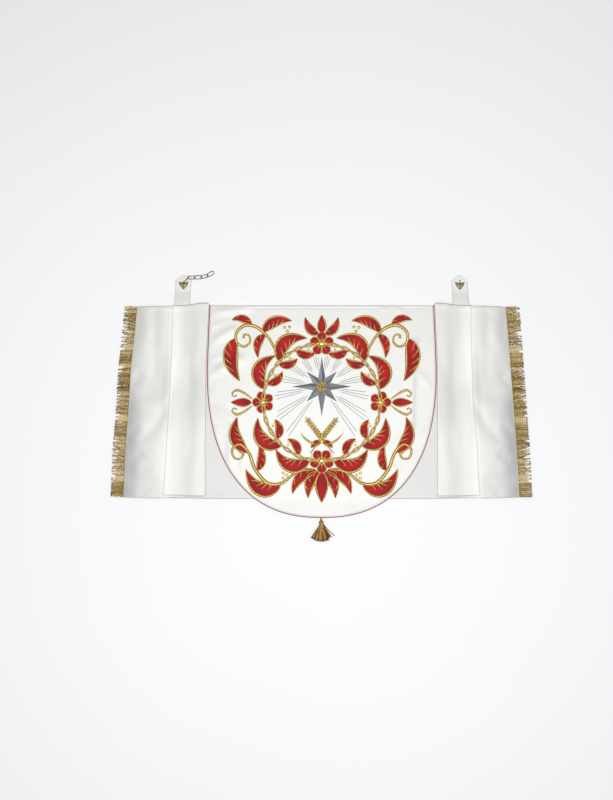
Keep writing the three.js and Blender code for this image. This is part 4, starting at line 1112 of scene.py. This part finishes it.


def fringe(side, way, seed):
    rng = np.random.default_rng(seed)
    rows = np.array(FOLDS[side], float)
    top, bottom = EDGES[side]["end"]
    parted = np.array(PARTED[side], float)[::-1]

    def seam(y):
        return ease(rows[:, 0], rows[:, 3], y) + 0.5

    def apart(y):
        return np.interp(y, parted[:, 0], parted[:, 1])

    def leans(y):
        rows = np.array(LEANING[side], float)[::-1]
        return np.interp(y, rows[:, 0], rows[:, 1])

    def painted_glint_by(y):
        return sum(np.exp(-(((y - c) / 9.0) ** 4)) for c in PAINTED_GLINT_AT[side])

    heap = Heap()
    y = np.linspace(top - 0.6, bottom + 0.6, 200)
    twisted(heap, np.column_stack([way * (seam(y) + 1.5), y, np.full(200, 1.45)]), 0.8, 0.55, 4.6, 4, 6, rng, 0.32)
    # a bed of close cords, nearly as long as the rest where nothing has fallen apart
    m = 620
    root = np.linspace(top - 1.2, bottom + 1.2, m) + rng.normal(0, 0.5, m)
    root = np.clip(root, bottom + 0.8, top - 0.8)
    loose = apart(root)
    share = (top - root) / (top - bottom)
    full = lerp(REACH[side][0], REACH[side][1], share) - 2.2
    long = full * (lerp(0.95, 0.58, smooth(0.12, 0.85, loose)) + rng.normal(0, lerp(0.03, 0.13, loose)))
    long = np.clip(long, 8, full)
    s = np.linspace(0, 1, 13)[None, :]
    wave = 1.3 * np.sin(2 * np.pi * (s * rng.uniform(1.2, 2.6, m)[:, None] + rng.random(m)[:, None])) * smooth(0, 0.3, s)
    yy = np.clip(root[:, None] + (rng.normal(0, 3.2, m) + 0.5 * leans(root))[:, None] * s + wave, bottom - 4.0, top + 1.0)
    zz = np.maximum(rng.uniform(0.8, 2.3, m)[:, None] * lerp(1, 0.7, s), 0.75)
    patch = uneven(root, 0 * root, 9, seed + 40) + 0.6 * uneven(root, 0 * root + 5, 3.1, seed + 41)
    own = np.clip(0.45 + 0.40 * patch + rng.normal(0, 0.14, m) + 0.09 * (loose < 0.2), 0.08, 0.92)
    # painted highlights: some threads made pale, mostly where the cords would catch the light and where they have
    # parted
    pale = rng.random(m) < 0.95 * painted_glint_by(root) + 0.30 * smooth(0.3, 0.7, loose)
    own = np.where(pale, rng.uniform(0.9, 1.1, m), own)[:, None]
    fleck = 1 + 0.42 * np.sin(2 * np.pi * (s * long[:, None] / 6.0 + rng.random(m)[:, None]))
    tone = own * fleck * lerp(0.86, 1.02, smooth(0.06, 0.24, s)) * lerp(1.0, 0.6, smooth(0.86, 0.98, s))
    strands(heap, np.stack([way * (seam(root)[:, None] + 1.0 + (long - 1.0)[:, None] * s), yy, zz], -1), 0.62, 3, np.clip(tone, 0, 1))
    # the cords; where they have fallen apart they gather into locks
    root, at = [], top - 1.6
    while at > bottom + 1.4:
        root.append(at)
        at -= 3.0 * rng.uniform(0.84, 1.16)
    root = np.array(root)
    m = len(root)
    loose = apart(root)
    locks, at = [], top + 4
    while at > bottom - 8:
        locks.append((at, rng.normal(0, 4.4), rng.random()))
        at -= rng.uniform(5.6, 9.8)
    locks = np.array(locks)
    mine = np.argmin(np.abs(root[:, None] - locks[None, :, 0]), axis=1)
    aim = locks[mine, 0] + locks[mine, 1]
    tip = lerp(root, aim + rng.normal(0, 1.2, m), 0.62 * loose) + rng.normal(0, 0.5 + 1.0 * loose, m)
    tip = tip + leans(locks[mine, 0]) * rng.uniform(0.85, 1.15, m)
    share = (top - root) / (top - bottom)
    long = lerp(REACH[side][0], REACH[side][1], share) - 0.9 - np.abs(rng.normal(0, 1.3, m))
    per_turn, pitch = 4, 4.0
    n = int(40 / pitch * per_turn)
    s = np.linspace(0, 1, n)[None, :]
    bow = rng.normal(0, 0.8, m)[:, None] * np.sin(np.pi * s) + (0.35 + 1.1 * loose[:, None]) * np.sin(2 * np.pi * (s * rng.uniform(1.0, 1.9, m)[:, None] + rng.random(m)[:, None]))
    lean = np.arctan2(tip - root, long)
    out = 1.0 + (long - 1.0)[:, None] * s * np.cos(lean * 0.7)[:, None]
    yy = root[:, None] + bow * smooth(0, 0.25, s) + (tip - root)[:, None] * s**1.25
    yy = np.clip(yy, bottom - 4.5, top + 1.6)
    bed = np.where(np.arange(m) % 2 == 0, 1.5, 3.0)[:, None] + rng.uniform(-0.1, 0.7, m)[:, None]
    zz = lerp(1.9, bed, smooth(0.02, 0.25, s)) * lerp(1, 0.62, smooth(0.5, 1, s))
    zz = np.maximum(zz, 1.4)
    centre = np.stack([way * (seam(root)[:, None] + out), yy, zz], -1)
    along = np.gradient(centre, axis=1)
    along /= np.linalg.norm(along, axis=2, keepdims=True)
    across = np.cross([0, 0, 1], along)
    across /= np.linalg.norm(across, axis=2, keepdims=True)
    over = np.cross(along, across)
    # painted highlights: some cords made pale, mostly where they would catch the light and where they have parted
    pale = rng.random(m) < 0.42 * smooth(0.3, 0.7, loose) + 0.8 * painted_glint_by(root)
    own = np.where(pale, rng.uniform(0.95, 1.2, m), np.clip(0.45 + 0.06 * (loose < 0.2) + 0.42 * (locks[mine, 2] - 0.5) + rng.normal(0, 0.17, m), 0.12, 0.9))[:, None]
    fleck = 1 + 0.38 * np.sin(2 * np.pi * (s * 6.2 + rng.random(m)[:, None]))
    tone = own * fleck * lerp(0.78, 1.0, smooth(0.06, 0.24, s)) * lerp(1.0, 0.32, smooth(0.84, 0.95, s))
    swing = 0.68 * lerp(1.0, 0.35, smooth(0.93, 1, s))[..., None]
    for k in range(2):
        b = (2 * np.pi * np.arange(n)[None, :] / per_turn + rng.random(m)[:, None] * 6 + np.pi * k)[..., None]
        strands(heap, centre + swing * (across * np.cos(b) + over * np.sin(b)), 0.8, 3, np.clip(tone + 0.07 * (1 - 2 * k), 0, 1))
    # fine threads that have worked loose
    m = 300
    root = rng.uniform(bottom + 0.5, top - 1.5, m)
    lean = np.clip(rng.normal(0, 0.34, m), -0.8, 0.8)
    long = rng.uniform(24, 36.0, m)
    s = np.linspace(0, 1, 9)[None, :]
    out = 2.0 + (long - 2)[:, None] * s * np.cos(lean)[:, None]
    yy = root[:, None] + np.sin(lean)[:, None] * long[:, None] * s + 0.8 * np.sin(2 * np.pi * (s * rng.uniform(1.5, 3.5, m)[:, None] + rng.random(m)[:, None])) * smooth(0, 0.3, s)
    yy = np.clip(yy, bottom - 4.5, top + 1.0)
    zz = rng.uniform(0.5, 4.2, m)[:, None] * lerp(1, 0.55, s)
    zz = np.maximum(zz, 0.35)
    strands(heap, np.stack([way * (seam(root)[:, None] + out), yy, zz], -1), 0.24, 3, np.clip(rng.beta(2, 1.6, m), 0, 1))
    obj = heap.make("fringe_threads_" + side, FRINGE)
    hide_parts("fringe_" + side)
    return obj


fringes = [fringe("left", -1, 11), fringe("right", 1, 12)]


# ------------------------------------------------------------------------------ tassel
def tassel():
    rng = np.random.default_rng(31)
    heap = Heap()
    m = 460
    neck = np.array([-1.2, -325.5])
    fan = np.clip(rng.normal(0.06, 0.30, m), -0.58, 0.62)
    long = 51.5 + 1.5 * np.cos(fan * 2.0) - rng.gamma(1.3, 1.1, m) - 4.0 * (fan > 0.4)
    steps = 12
    s = np.linspace(0, 1, steps)[None, :]
    spread = rng.normal(0, 2.2, m)
    swing = 0.5 * np.sin(2 * np.pi * (s * rng.uniform(1.0, 2.2, m)[:, None] + rng.random(m)[:, None])) * s
    bow = fan[:, None] * lerp(0.62, 1.0, smooth(0, 0.55, s))
    x = neck[0] + spread[:, None] * lerp(1, 0.6, s) + np.sin(bow) * long[:, None] * s + swing
    y = neck[1] - np.cos(bow) * long[:, None] * s
    full = rng.uniform(0.04, 1, m)[:, None]
    z = np.maximum(full * lerp(9.2, 6.4, s) * np.sqrt(np.clip(1 - (fan / 0.75) ** 2, 0.1, 1))[:, None], 0.42)
    thick = rng.uniform(0.34, 0.48, m)[:, None] * lerp(1, 0.85, s)
    own = np.clip(0.46 + 1.35 * uneven(fan * 60 + 90, full[:, 0] * 3, 4.4, 77) + rng.normal(0, 0.08, m) - 0.12 * (fan > 0.34), 0.02, 1)
    strands(heap, np.stack([x, y, z], -1), thick, 3, np.clip(own[:, None] * lerp(1.15, 0.8, s) * lerp(1, 0.45, smooth(0.9, 1, s)), 0, 1))
    for points, r, tone in (
        ([(-4, -328), (-14, -345), (-24, -360), (-30, -369)], 0.7, 0.22), ([(-3, -329), (-12, -349), (-21, -364), (-26.5, -371)], 0.5, 0.6),
        ([(3, -327.5), (14, -341), (25, -352), (35, -360.5)], 1.1, 0.16), ([(2, -329), (13, -346), (23, -359), (30, -367)], 0.6, 0.5),
        ([(1, -329), (10, -350), (18, -366), (22, -376)], 0.5, 0.25),
    ):
        line = through(points, 16)
        wire(heap, np.column_stack([line, np.linspace(4.5, 1.25, 16)]), r, 6, shade=tone)
    # head: a skirt of thread under wrapped turns, and the knot that hangs it from the edge
    for y0, wide, high, tone, r in (
        (-326.6, 6.6, 4.4, 0.5, 0.75), (-325.2, 6.9, 4.6, 0.62, 0.75), (-323.8, 6.9, 4.6, 0.45, 0.75), (-322.4, 6.5, 4.4, 0.6, 0.75),
        (-321.0, 5.6, 4.0, 0.4, 0.7), (-319.7, 4.3, 3.3, 0.5, 0.65), (-318.6, 2.9, 2.5, 0.35, 0.6),
        (-315.6, 2.7, 2.3, 0.3, 0.62), (-314.4, 2.9, 2.5, 0.42, 0.62), (-313.3, 2.2, 2.0, 0.3, 0.55),
    ):
        a = np.linspace(0, 2 * np.pi, 30)[:-1]
        path = np.stack([-1.6 + (wide - r) * np.cos(a), y0 + 0.35 * np.sin(a + 0.6), high + 0.1 + (high - r) * np.sin(a)], 1)
        wire(heap, path, r, 7, True, tone)
    for k in range(9):
        a = 2 * np.pi * k / 9
        line = np.linspace((-1.6 + 1.5 * math.cos(a), -317.6, 2.5 + 1.4 * math.sin(a)), (-1.6 + 5.6 * math.cos(a), -322.2, 4.4 + 3.4 * math.sin(a)), 6)
        wire(heap, line, 0.75, 6, shade=0.3 + 0.05 * (k % 3))
    obj = heap.make("tassel_threads", TASSEL)
    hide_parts("tassel")
    return obj


tassel_piece = tassel()

# ------------------------------------------------------------------------------ tabs
TABS = {  # root from and to, the two shoulders, the point's flat
    "left": ((-412.3, -369.4), ((-409.5, 353.3), (-364.4, 354.8)), ((-390.0, 368.2), (-381.8, 368.2))),
    "right": ((366.4, 412.3), ((363.0, 353.3), (408.7, 350.0)), ((382.6, 367.9), (389.0, 367.9))),
}
sewn = Heap()


def pleat_top(side, x):
    """Upper edge of the pleat's face at x."""
    rows = np.array(FOLDS[side], float)
    e = EDGES[side]
    inner, outer = rows[0, 1], rows[0, 2]
    a = inner + (LEVEL[4] + FACE_LIFT["upper"][0] - LEVEL[1]) / 2 * PRESSED["inner"] + CLOTH_T / 2
    b = outer - (LEVEL[4] + FACE_LIFT["upper"][-1] - LEVEL[3]) / 2 * PRESSED["outer"] - CLOTH_T / 2
    u = np.clip((np.abs(x) - a) / (b - a), 0, 1)
    return lerp(e["inner"][0], e["outer"][0], u) + ease(RISE_U, FACE_RISE, u)


def tab_point(side, s, t):
    """A point of the tab's outline plane: s across from 0 to 1, t up from 0 to 1."""
    (x0, x1), (l, r), (pl, pr) = TABS[side]
    root_x = lerp(x0, x1, s)
    root = np.stack([root_x, pleat_top(side, root_x) + 0.4 + 0 * root_x], -1)
    shoulder = np.stack([lerp(l[0], r[0], s), lerp(l[1], r[1], s)], -1)
    k = np.interp(s, [0, 0.5, 1], [0, 1, 0])
    tip_x = np.where(s < 0.5, lerp(l[0], pl[0], s / 0.5 * 1.0), lerp(pr[0], r[0], (s - 0.5) / 0.5))
    tip_x = np.where(np.abs(s - 0.5) < 1e-9, (pl[0] + pr[0]) / 2, tip_x)
    roof = np.stack([tip_x, np.where(s < 0.5, lerp(l[1], pl[1], k), lerp(r[1], pr[1], k))], -1)
    bend = 0.62
    low = root + (shoulder - root) * np.clip(t / bend, 0, 1)[..., None]
    f = smooth(0, 1, np.clip((t - bend) / (1 - bend), 0, 1)) * 0.5 + np.clip((t - bend) / (1 - bend), 0, 1) * 0.5
    return np.where((t <= bend)[..., None], low, shoulder + (roof - shoulder) * f[..., None])


def tab_under(side, x, y):
    root = pleat_top(side, x) + 0.4
    return 4.6 * (1 - smooth(0, 45, y - root))


def tab(side):
    cols, rows = 37, 44
    s = np.linspace(0, 1, cols)
    s = 0.5 + 0.5 * np.sign(s - 0.5) * np.abs(2 * s - 1) ** 0.9
    t = np.concatenate([[0, 0.006, 0.014], np.linspace(0.03, 0.97, rows - 6), [0.985, 0.994, 1.0]])
    ss, tt = np.meshgrid(s, t[::-1], indexing="ij")
    p = tab_point(side, ss, tt)
    x, y = p[..., 0], p[..., 1]
    rim_x = np.minimum(ss, 1 - ss) * 44
    rim_y = np.minimum(tt, 1 - tt) * 80
    rim = np.minimum(rim_x, rim_y)
    z = tab_under(side, x, y)
    thick = 1.6 * np.interp(rim, [0, 0.8, 2.0], [0.3, 0.8, 1.0])
    thick = thick - 0.22 * np.exp(-(((rim - 4.2) / 1.0) ** 2))
    upper = np.stack([x, y, z + thick], -1)
    lower = np.stack([x, y, z], -1)
    heap = Heap()
    # painted shadow line along the tab's rim, and the rest painted lighter against its slope away from the light
    tone = (0.92 - 0.7 * np.exp(-((rim / 1.4) ** 2))).ravel()
    shell(heap, upper, lower, np.stack([x, y], -1) * 0.001, shade=np.concatenate([tone, tone]))
    obj = heap.make("tab_satin_" + side, VEIL_SATIN)
    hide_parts("tab_" + side)
    # a row of stitches just inside the edge
    line = []
    for a in np.linspace(0.03, 0.62, 26):
        line.append((4.2 / 44, a))
    for a in np.linspace(0, 1, 14)[1:-1]:
        line.append((lerp(4.2 / 44, 0.5, a), lerp(0.62, 0.945, a)))
    line = np.array(line + [(1 - q, w) for q, w in line[::-1]])
    spots = evenly(tab_point(side, line[:, 0], line[:, 1]), 400)
    sew(spots, lambda q, w: tab_under(side, q, w) + 1.6 - 0.12)
    return obj


def sew(spots, height, long=2.5, gap=1.0, thick=0.22):
    """Machine stitches along a line on a surface."""
    run = np.concatenate([[0], np.cumsum(np.linalg.norm(np.diff(spots, axis=0), axis=1))])
    start = np.arange(0.5, run[-1] - long, long + gap)
    f = np.array([0, 0.25, 0.5, 0.75, 1.0])
    at = start[:, None] + long * f[None, :]
    x, y = np.interp(at, run, spots[:, 0]), np.interp(at, run, spots[:, 1])
    z = height(x, y) + np.array([-0.25, 0.08, 0.14, 0.08, -0.25])[None, :]
    strands(sewn, np.stack([x, y, z], -1), np.full((1, 5), thick), 5, 0.5)


tabs = [tab("left"), tab("right")]

# hood stitching
edge_y = HOOD_TOP - 9
edge_x = np.linspace(-hood_half(edge_y, 6), hood_half(edge_y, 6), 300)
sew(np.column_stack([edge_x, np.full(300, edge_y)]), lambda q, w: hood_top(q, w) - 0.36)
line = evenly(hood_curve(5.2, 60, 400), 900)[6:-6]
sew(line, lambda q, w: hood_top(q, w) - 0.02)
sewing = sewn.make("sewing_thread", SEWING)

# ------------------------------------------------------------------------------ clasps and chain
CLASPS = {"left": (-387.0, 339.4), "right": (386.6, 338.2)}
PLATE_Z = 1.9


def heart(scale=1.0, n=90):
    half = [(0, -9.9), (2.2, -8.2), (5.2, -5.0), (8.2, -1.2), (10.6, 3.2), (11.7, 7.4), (12.2, 9.0), (11.0, 9.2), (8.0, 8.0), (4.8, 7.4), (2.2, 6.9), (0, 6.2)]
    points = half + [(-x, y) for x, y in half[-2:0:-1]]
    return through([(x * scale, y * scale) for x, y in points], n, True)


def clasp(side):
    cx, cy = CLASPS[side]
    heap = Heap()
    outline = heart()
    middle = np.array([0, 1.6])
    # a domed plate with a rolled rim
    s = np.array([0.04, 0.25, 0.45, 0.62, 0.76, 0.86, 0.93, 0.97, 0.985])
    flat = middle + (outline - middle)[:, None, :] * s[None, :, None]
    dome = PLATE_Z + 1.0 + 0.4 * (1 - s**2)[None, :] - 0.55 * np.exp(-(((s - 0.8) / 0.07) ** 2))[None, :]
    upper = np.concatenate([flat + [cx, cy], (dome + 0 * flat[..., 0])[..., None]], -1)
    lower = upper.copy()
    lower[..., 2] = PLATE_Z
    shell(heap, upper, lower, flat * 0.001, ring=True, shade=0.62)
    n = len(outline)
    k = np.arange(n)
    cap = np.concatenate([[[cx + middle[0], cy + middle[1], PLATE_Z + 1.41]], upper[:, 0]])
    heap.add(cap, np.stack([np.zeros(n, int), 1 + k, 1 + (k + 1) % n], -1), None, 0.62)
    rim = np.column_stack([outline + [cx, cy], np.full(n, PLATE_Z + 0.9)])
    wire(heap, rim, 0.95, 10, True, 0.14)
    # scrolls and beads on the face
    for hand in (1, -1):
        a = np.linspace(0, 3.6 * np.pi, 70)
        r = lerp(3.9, 0.5, np.linspace(0, 1, 70))
        curl = np.stack([hand * (5.3 - r * np.cos(a)), 3.2 + r * np.sin(a) * 0.95], 1)
        stem = bezier([(0, -7.4), (hand * 1.6, -3.0), (hand * (5.3 - 3.9), 3.2)], 20)
        line = np.concatenate([stem[:-1], curl])
        wire(heap, np.column_stack([line + [cx, cy], np.full(len(line), PLATE_Z + 1.5)]), np.linspace(0.62, 0.36, len(line)), 8, shade=0.34)
    for x, y, r in ((0, -3.6, 1.0), (0, -6.6, 0.7), (0, 1.2, 1.2), (0, 4.8, 0.9), (2.6, -1.6, 0.6), (-2.6, -1.6, 0.6), (9.6, 6.2, 0.7), (-9.6, 6.2, 0.7)):
        a = np.linspace(0, np.pi, 12)
        path = np.column_stack([np.full(6, cx + x), np.full(6, cy + y), np.linspace(PLATE_Z + 1.0, PLATE_Z + 1.9, 6)])
        wire(heap, path, r * np.array([1, 1.05, 1.0, 0.9, 0.7, 0.4]), 12, shade=0.8)
    if side == "left":
        # the eye, standing across the chain's heading
        h = math.radians(46)
        over = np.array([-math.sin(h), math.cos(h), 0])
        base = np.array([cx, cy + 7.2, 0])
        a = np.linspace(0, np.pi, 25)
        foot = PLATE_Z + 0.8
        bow = [base + over * 2.6 + [0, 0, foot], base + over * 2.6 + [0, 0, 5.0 - 0.4]]
        for b in a:
            bow.append(base + over * 2.6 * math.cos(b) + np.array([0, 0, 5.0 + 2.6 * math.sin(b)]))
        bow += [base - over * 2.6 + [0, 0, 5.0 - 0.4], base - over * 2.6 + [0, 0, foot]]
        wire(heap, through(bow, 60), 0.85, 12, shade=0.1)
    else:
        path = [(0, 3.5, 1.15), (0, 8, 1.2), (0, 12.6, 1.7), (0, 15.6, 3.4), (0, 15.4, 5.8), (0, 12.6, 6.9), (0, 9.2, 6.5)]
        path = through([(cx + x, cy + y, PLATE_Z + z) for x, y, z in path], 70)
        wire(heap, path, np.concatenate([np.full(50, 1.0), np.linspace(1.0, 0.75, 20)]), 12, shade=0.08)
    obj = heap.make("clasp_metal_" + side, OLD_GOLD)
    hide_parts("clasp_" + side)
    return obj


clasps = [clasp("left"), clasp("right")]


def oval(centre, e1, e2, half_long, half_wide, wire_r):
    """Long ring: e1 along it, e2 across."""
    e1 = e1 / np.linalg.norm(e1)
    e2 = e2 - e1 * np.dot(e1, e2)
    e2 = e2 / np.linalg.norm(e2)
    r, straight = half_wide - wire_r, half_long - half_wide
    a = np.linspace(-np.pi / 2, np.pi / 2, 22)
    b = np.linspace(1, -1, 12)[1:-1] * straight
    x = np.concatenate([straight + r * np.cos(a), b, -straight - r * np.cos(a), -b])
    y = np.concatenate([r * np.sin(a), np.full(10, r), -r * np.sin(a), np.full(10, -r)])
    return centre + x[:, None] * e1 + y[:, None] * e2


def ring_of(name, node, path, r):
    heap = Heap()
    wire(heap, path, r, 14, True)
    obj = heap.make(name, BROWN_METAL)
    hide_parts(node)


def chain():
    eye = np.array([-387.0, 346.6, 7.6])
    heading = math.radians(46)
    dip = math.asin((7.6 - 5.6) / 20.5)
    bail = np.array([math.cos(heading) * math.cos(dip), math.sin(heading) * math.cos(dip), -math.sin(dip)])
    end = eye + bail * 20.5
    path = oval((eye + end) / 2, bail, np.array([0.0, 0.0, 1.0]), 20.5 / 2 + 2.9 + 0.8, 2.9 + 0.8, 0.8)
    ring_of("chain_bail_wire", "chain_bail", path, 0.78)
    half = 11.5 - 2.0 - 0.65 / 2
    joint = end - 1.1 * bail
    for k, degrees in enumerate((3, 1, 15, 30)):
        h = math.radians(degrees)
        fall = math.asin((joint[2] - 3.5) / (2 * half))
        along = np.array([math.cos(h) * math.cos(fall), math.sin(h) * math.cos(fall), -math.sin(fall)])
        level = np.array([-math.sin(h), math.cos(h), 0])
        up = np.cross(along, level)
        roll = math.radians(30 if k % 2 else -30)
        across = level * math.cos(roll) + up * math.sin(roll)
        ring_of(f"chain_ring_{k + 1}", f"chain_link_{k + 1}", oval(joint + along * half, along, across, 11.5, 6.0, 1.0), 0.98)
        joint = joint + along * 2 * half


chain()

# ------------------------------------------------------------------------------ floor, light, camera
m, nodes, links, face = material("pale_floor")
where = nodes.new("ShaderNodeTexCoord")
tone = noise(nodes, links, where.outputs["Object"], 0.7, 2.0)
colour = ramp(nodes, [(0.3, (0.955, 0.96, 0.975)), (0.7, (0.97, 0.975, 0.985))])
links.new(tone, colour.inputs["Fac"])
links.new(colour.outputs["Color"], face.inputs["Base Color"])
face.inputs["Roughness"].default_value = 0.7
face.inputs["Specular IOR Level"].default_value = 0.6
mesh = bpy.data.meshes.new("floor")
mesh.from_pydata([(-6, -6, -0.0006), (6, -6, -0.0006), (6, 6, -0.0006), (-6, 6, -0.0006)], [], [(0, 1, 2, 3)])
mesh.materials.append(m)
floor = bpy.data.objects.new("floor", mesh)
bpy.context.scene.collection.objects.link(floor)

world = bpy.data.worlds.new("studio")
bpy.context.scene.world = world
world.use_nodes = True
sky = world.node_tree.nodes["Background"]
sky.inputs["Color"].default_value = (1.0, 1.0, 1.0, 1)
sky.inputs["Strength"].default_value = 0.325


def panel(name, spot, size, power, aim=(0, 0, 0), colour=(1, 1, 1)):
    data = bpy.data.lights.new(name, "AREA")
    data.shape, data.size, data.size_y = "RECTANGLE", size[0], size[1]
    data.energy, data.color = power, colour
    lamp = bpy.data.objects.new(name, data)
    lamp.location = spot
    way = np.asarray(spot, float) - np.asarray(aim, float)
    flat = math.hypot(way[0], way[1])
    lamp.rotation_euler = (math.atan2(flat, way[2]), 0, math.atan2(way[0], -way[1]) if flat > 1e-9 else 0)
    lamp.visible_camera = False
    bpy.context.scene.collection.objects.link(lamp)


panel("key", (0.0, -0.39, 4.0), (0.55, 0.55), 108.0, (0.0, -0.05, 0.0))

data = bpy.data.cameras.new("camera")
data.sensor_width, data.lens = 36.0, 36.0 * 4.5 / 2.24
data.clip_end = 50
camera = bpy.data.objects.new("camera", data)
camera.location = (-0.04224, 0.01783, 4.502)
camera.rotation_euler = (0, 0, 0)
bpy.context.scene.collection.objects.link(camera)
bpy.context.scene.camera = camera
bpy.context.scene.view_settings.view_transform = "Standard"
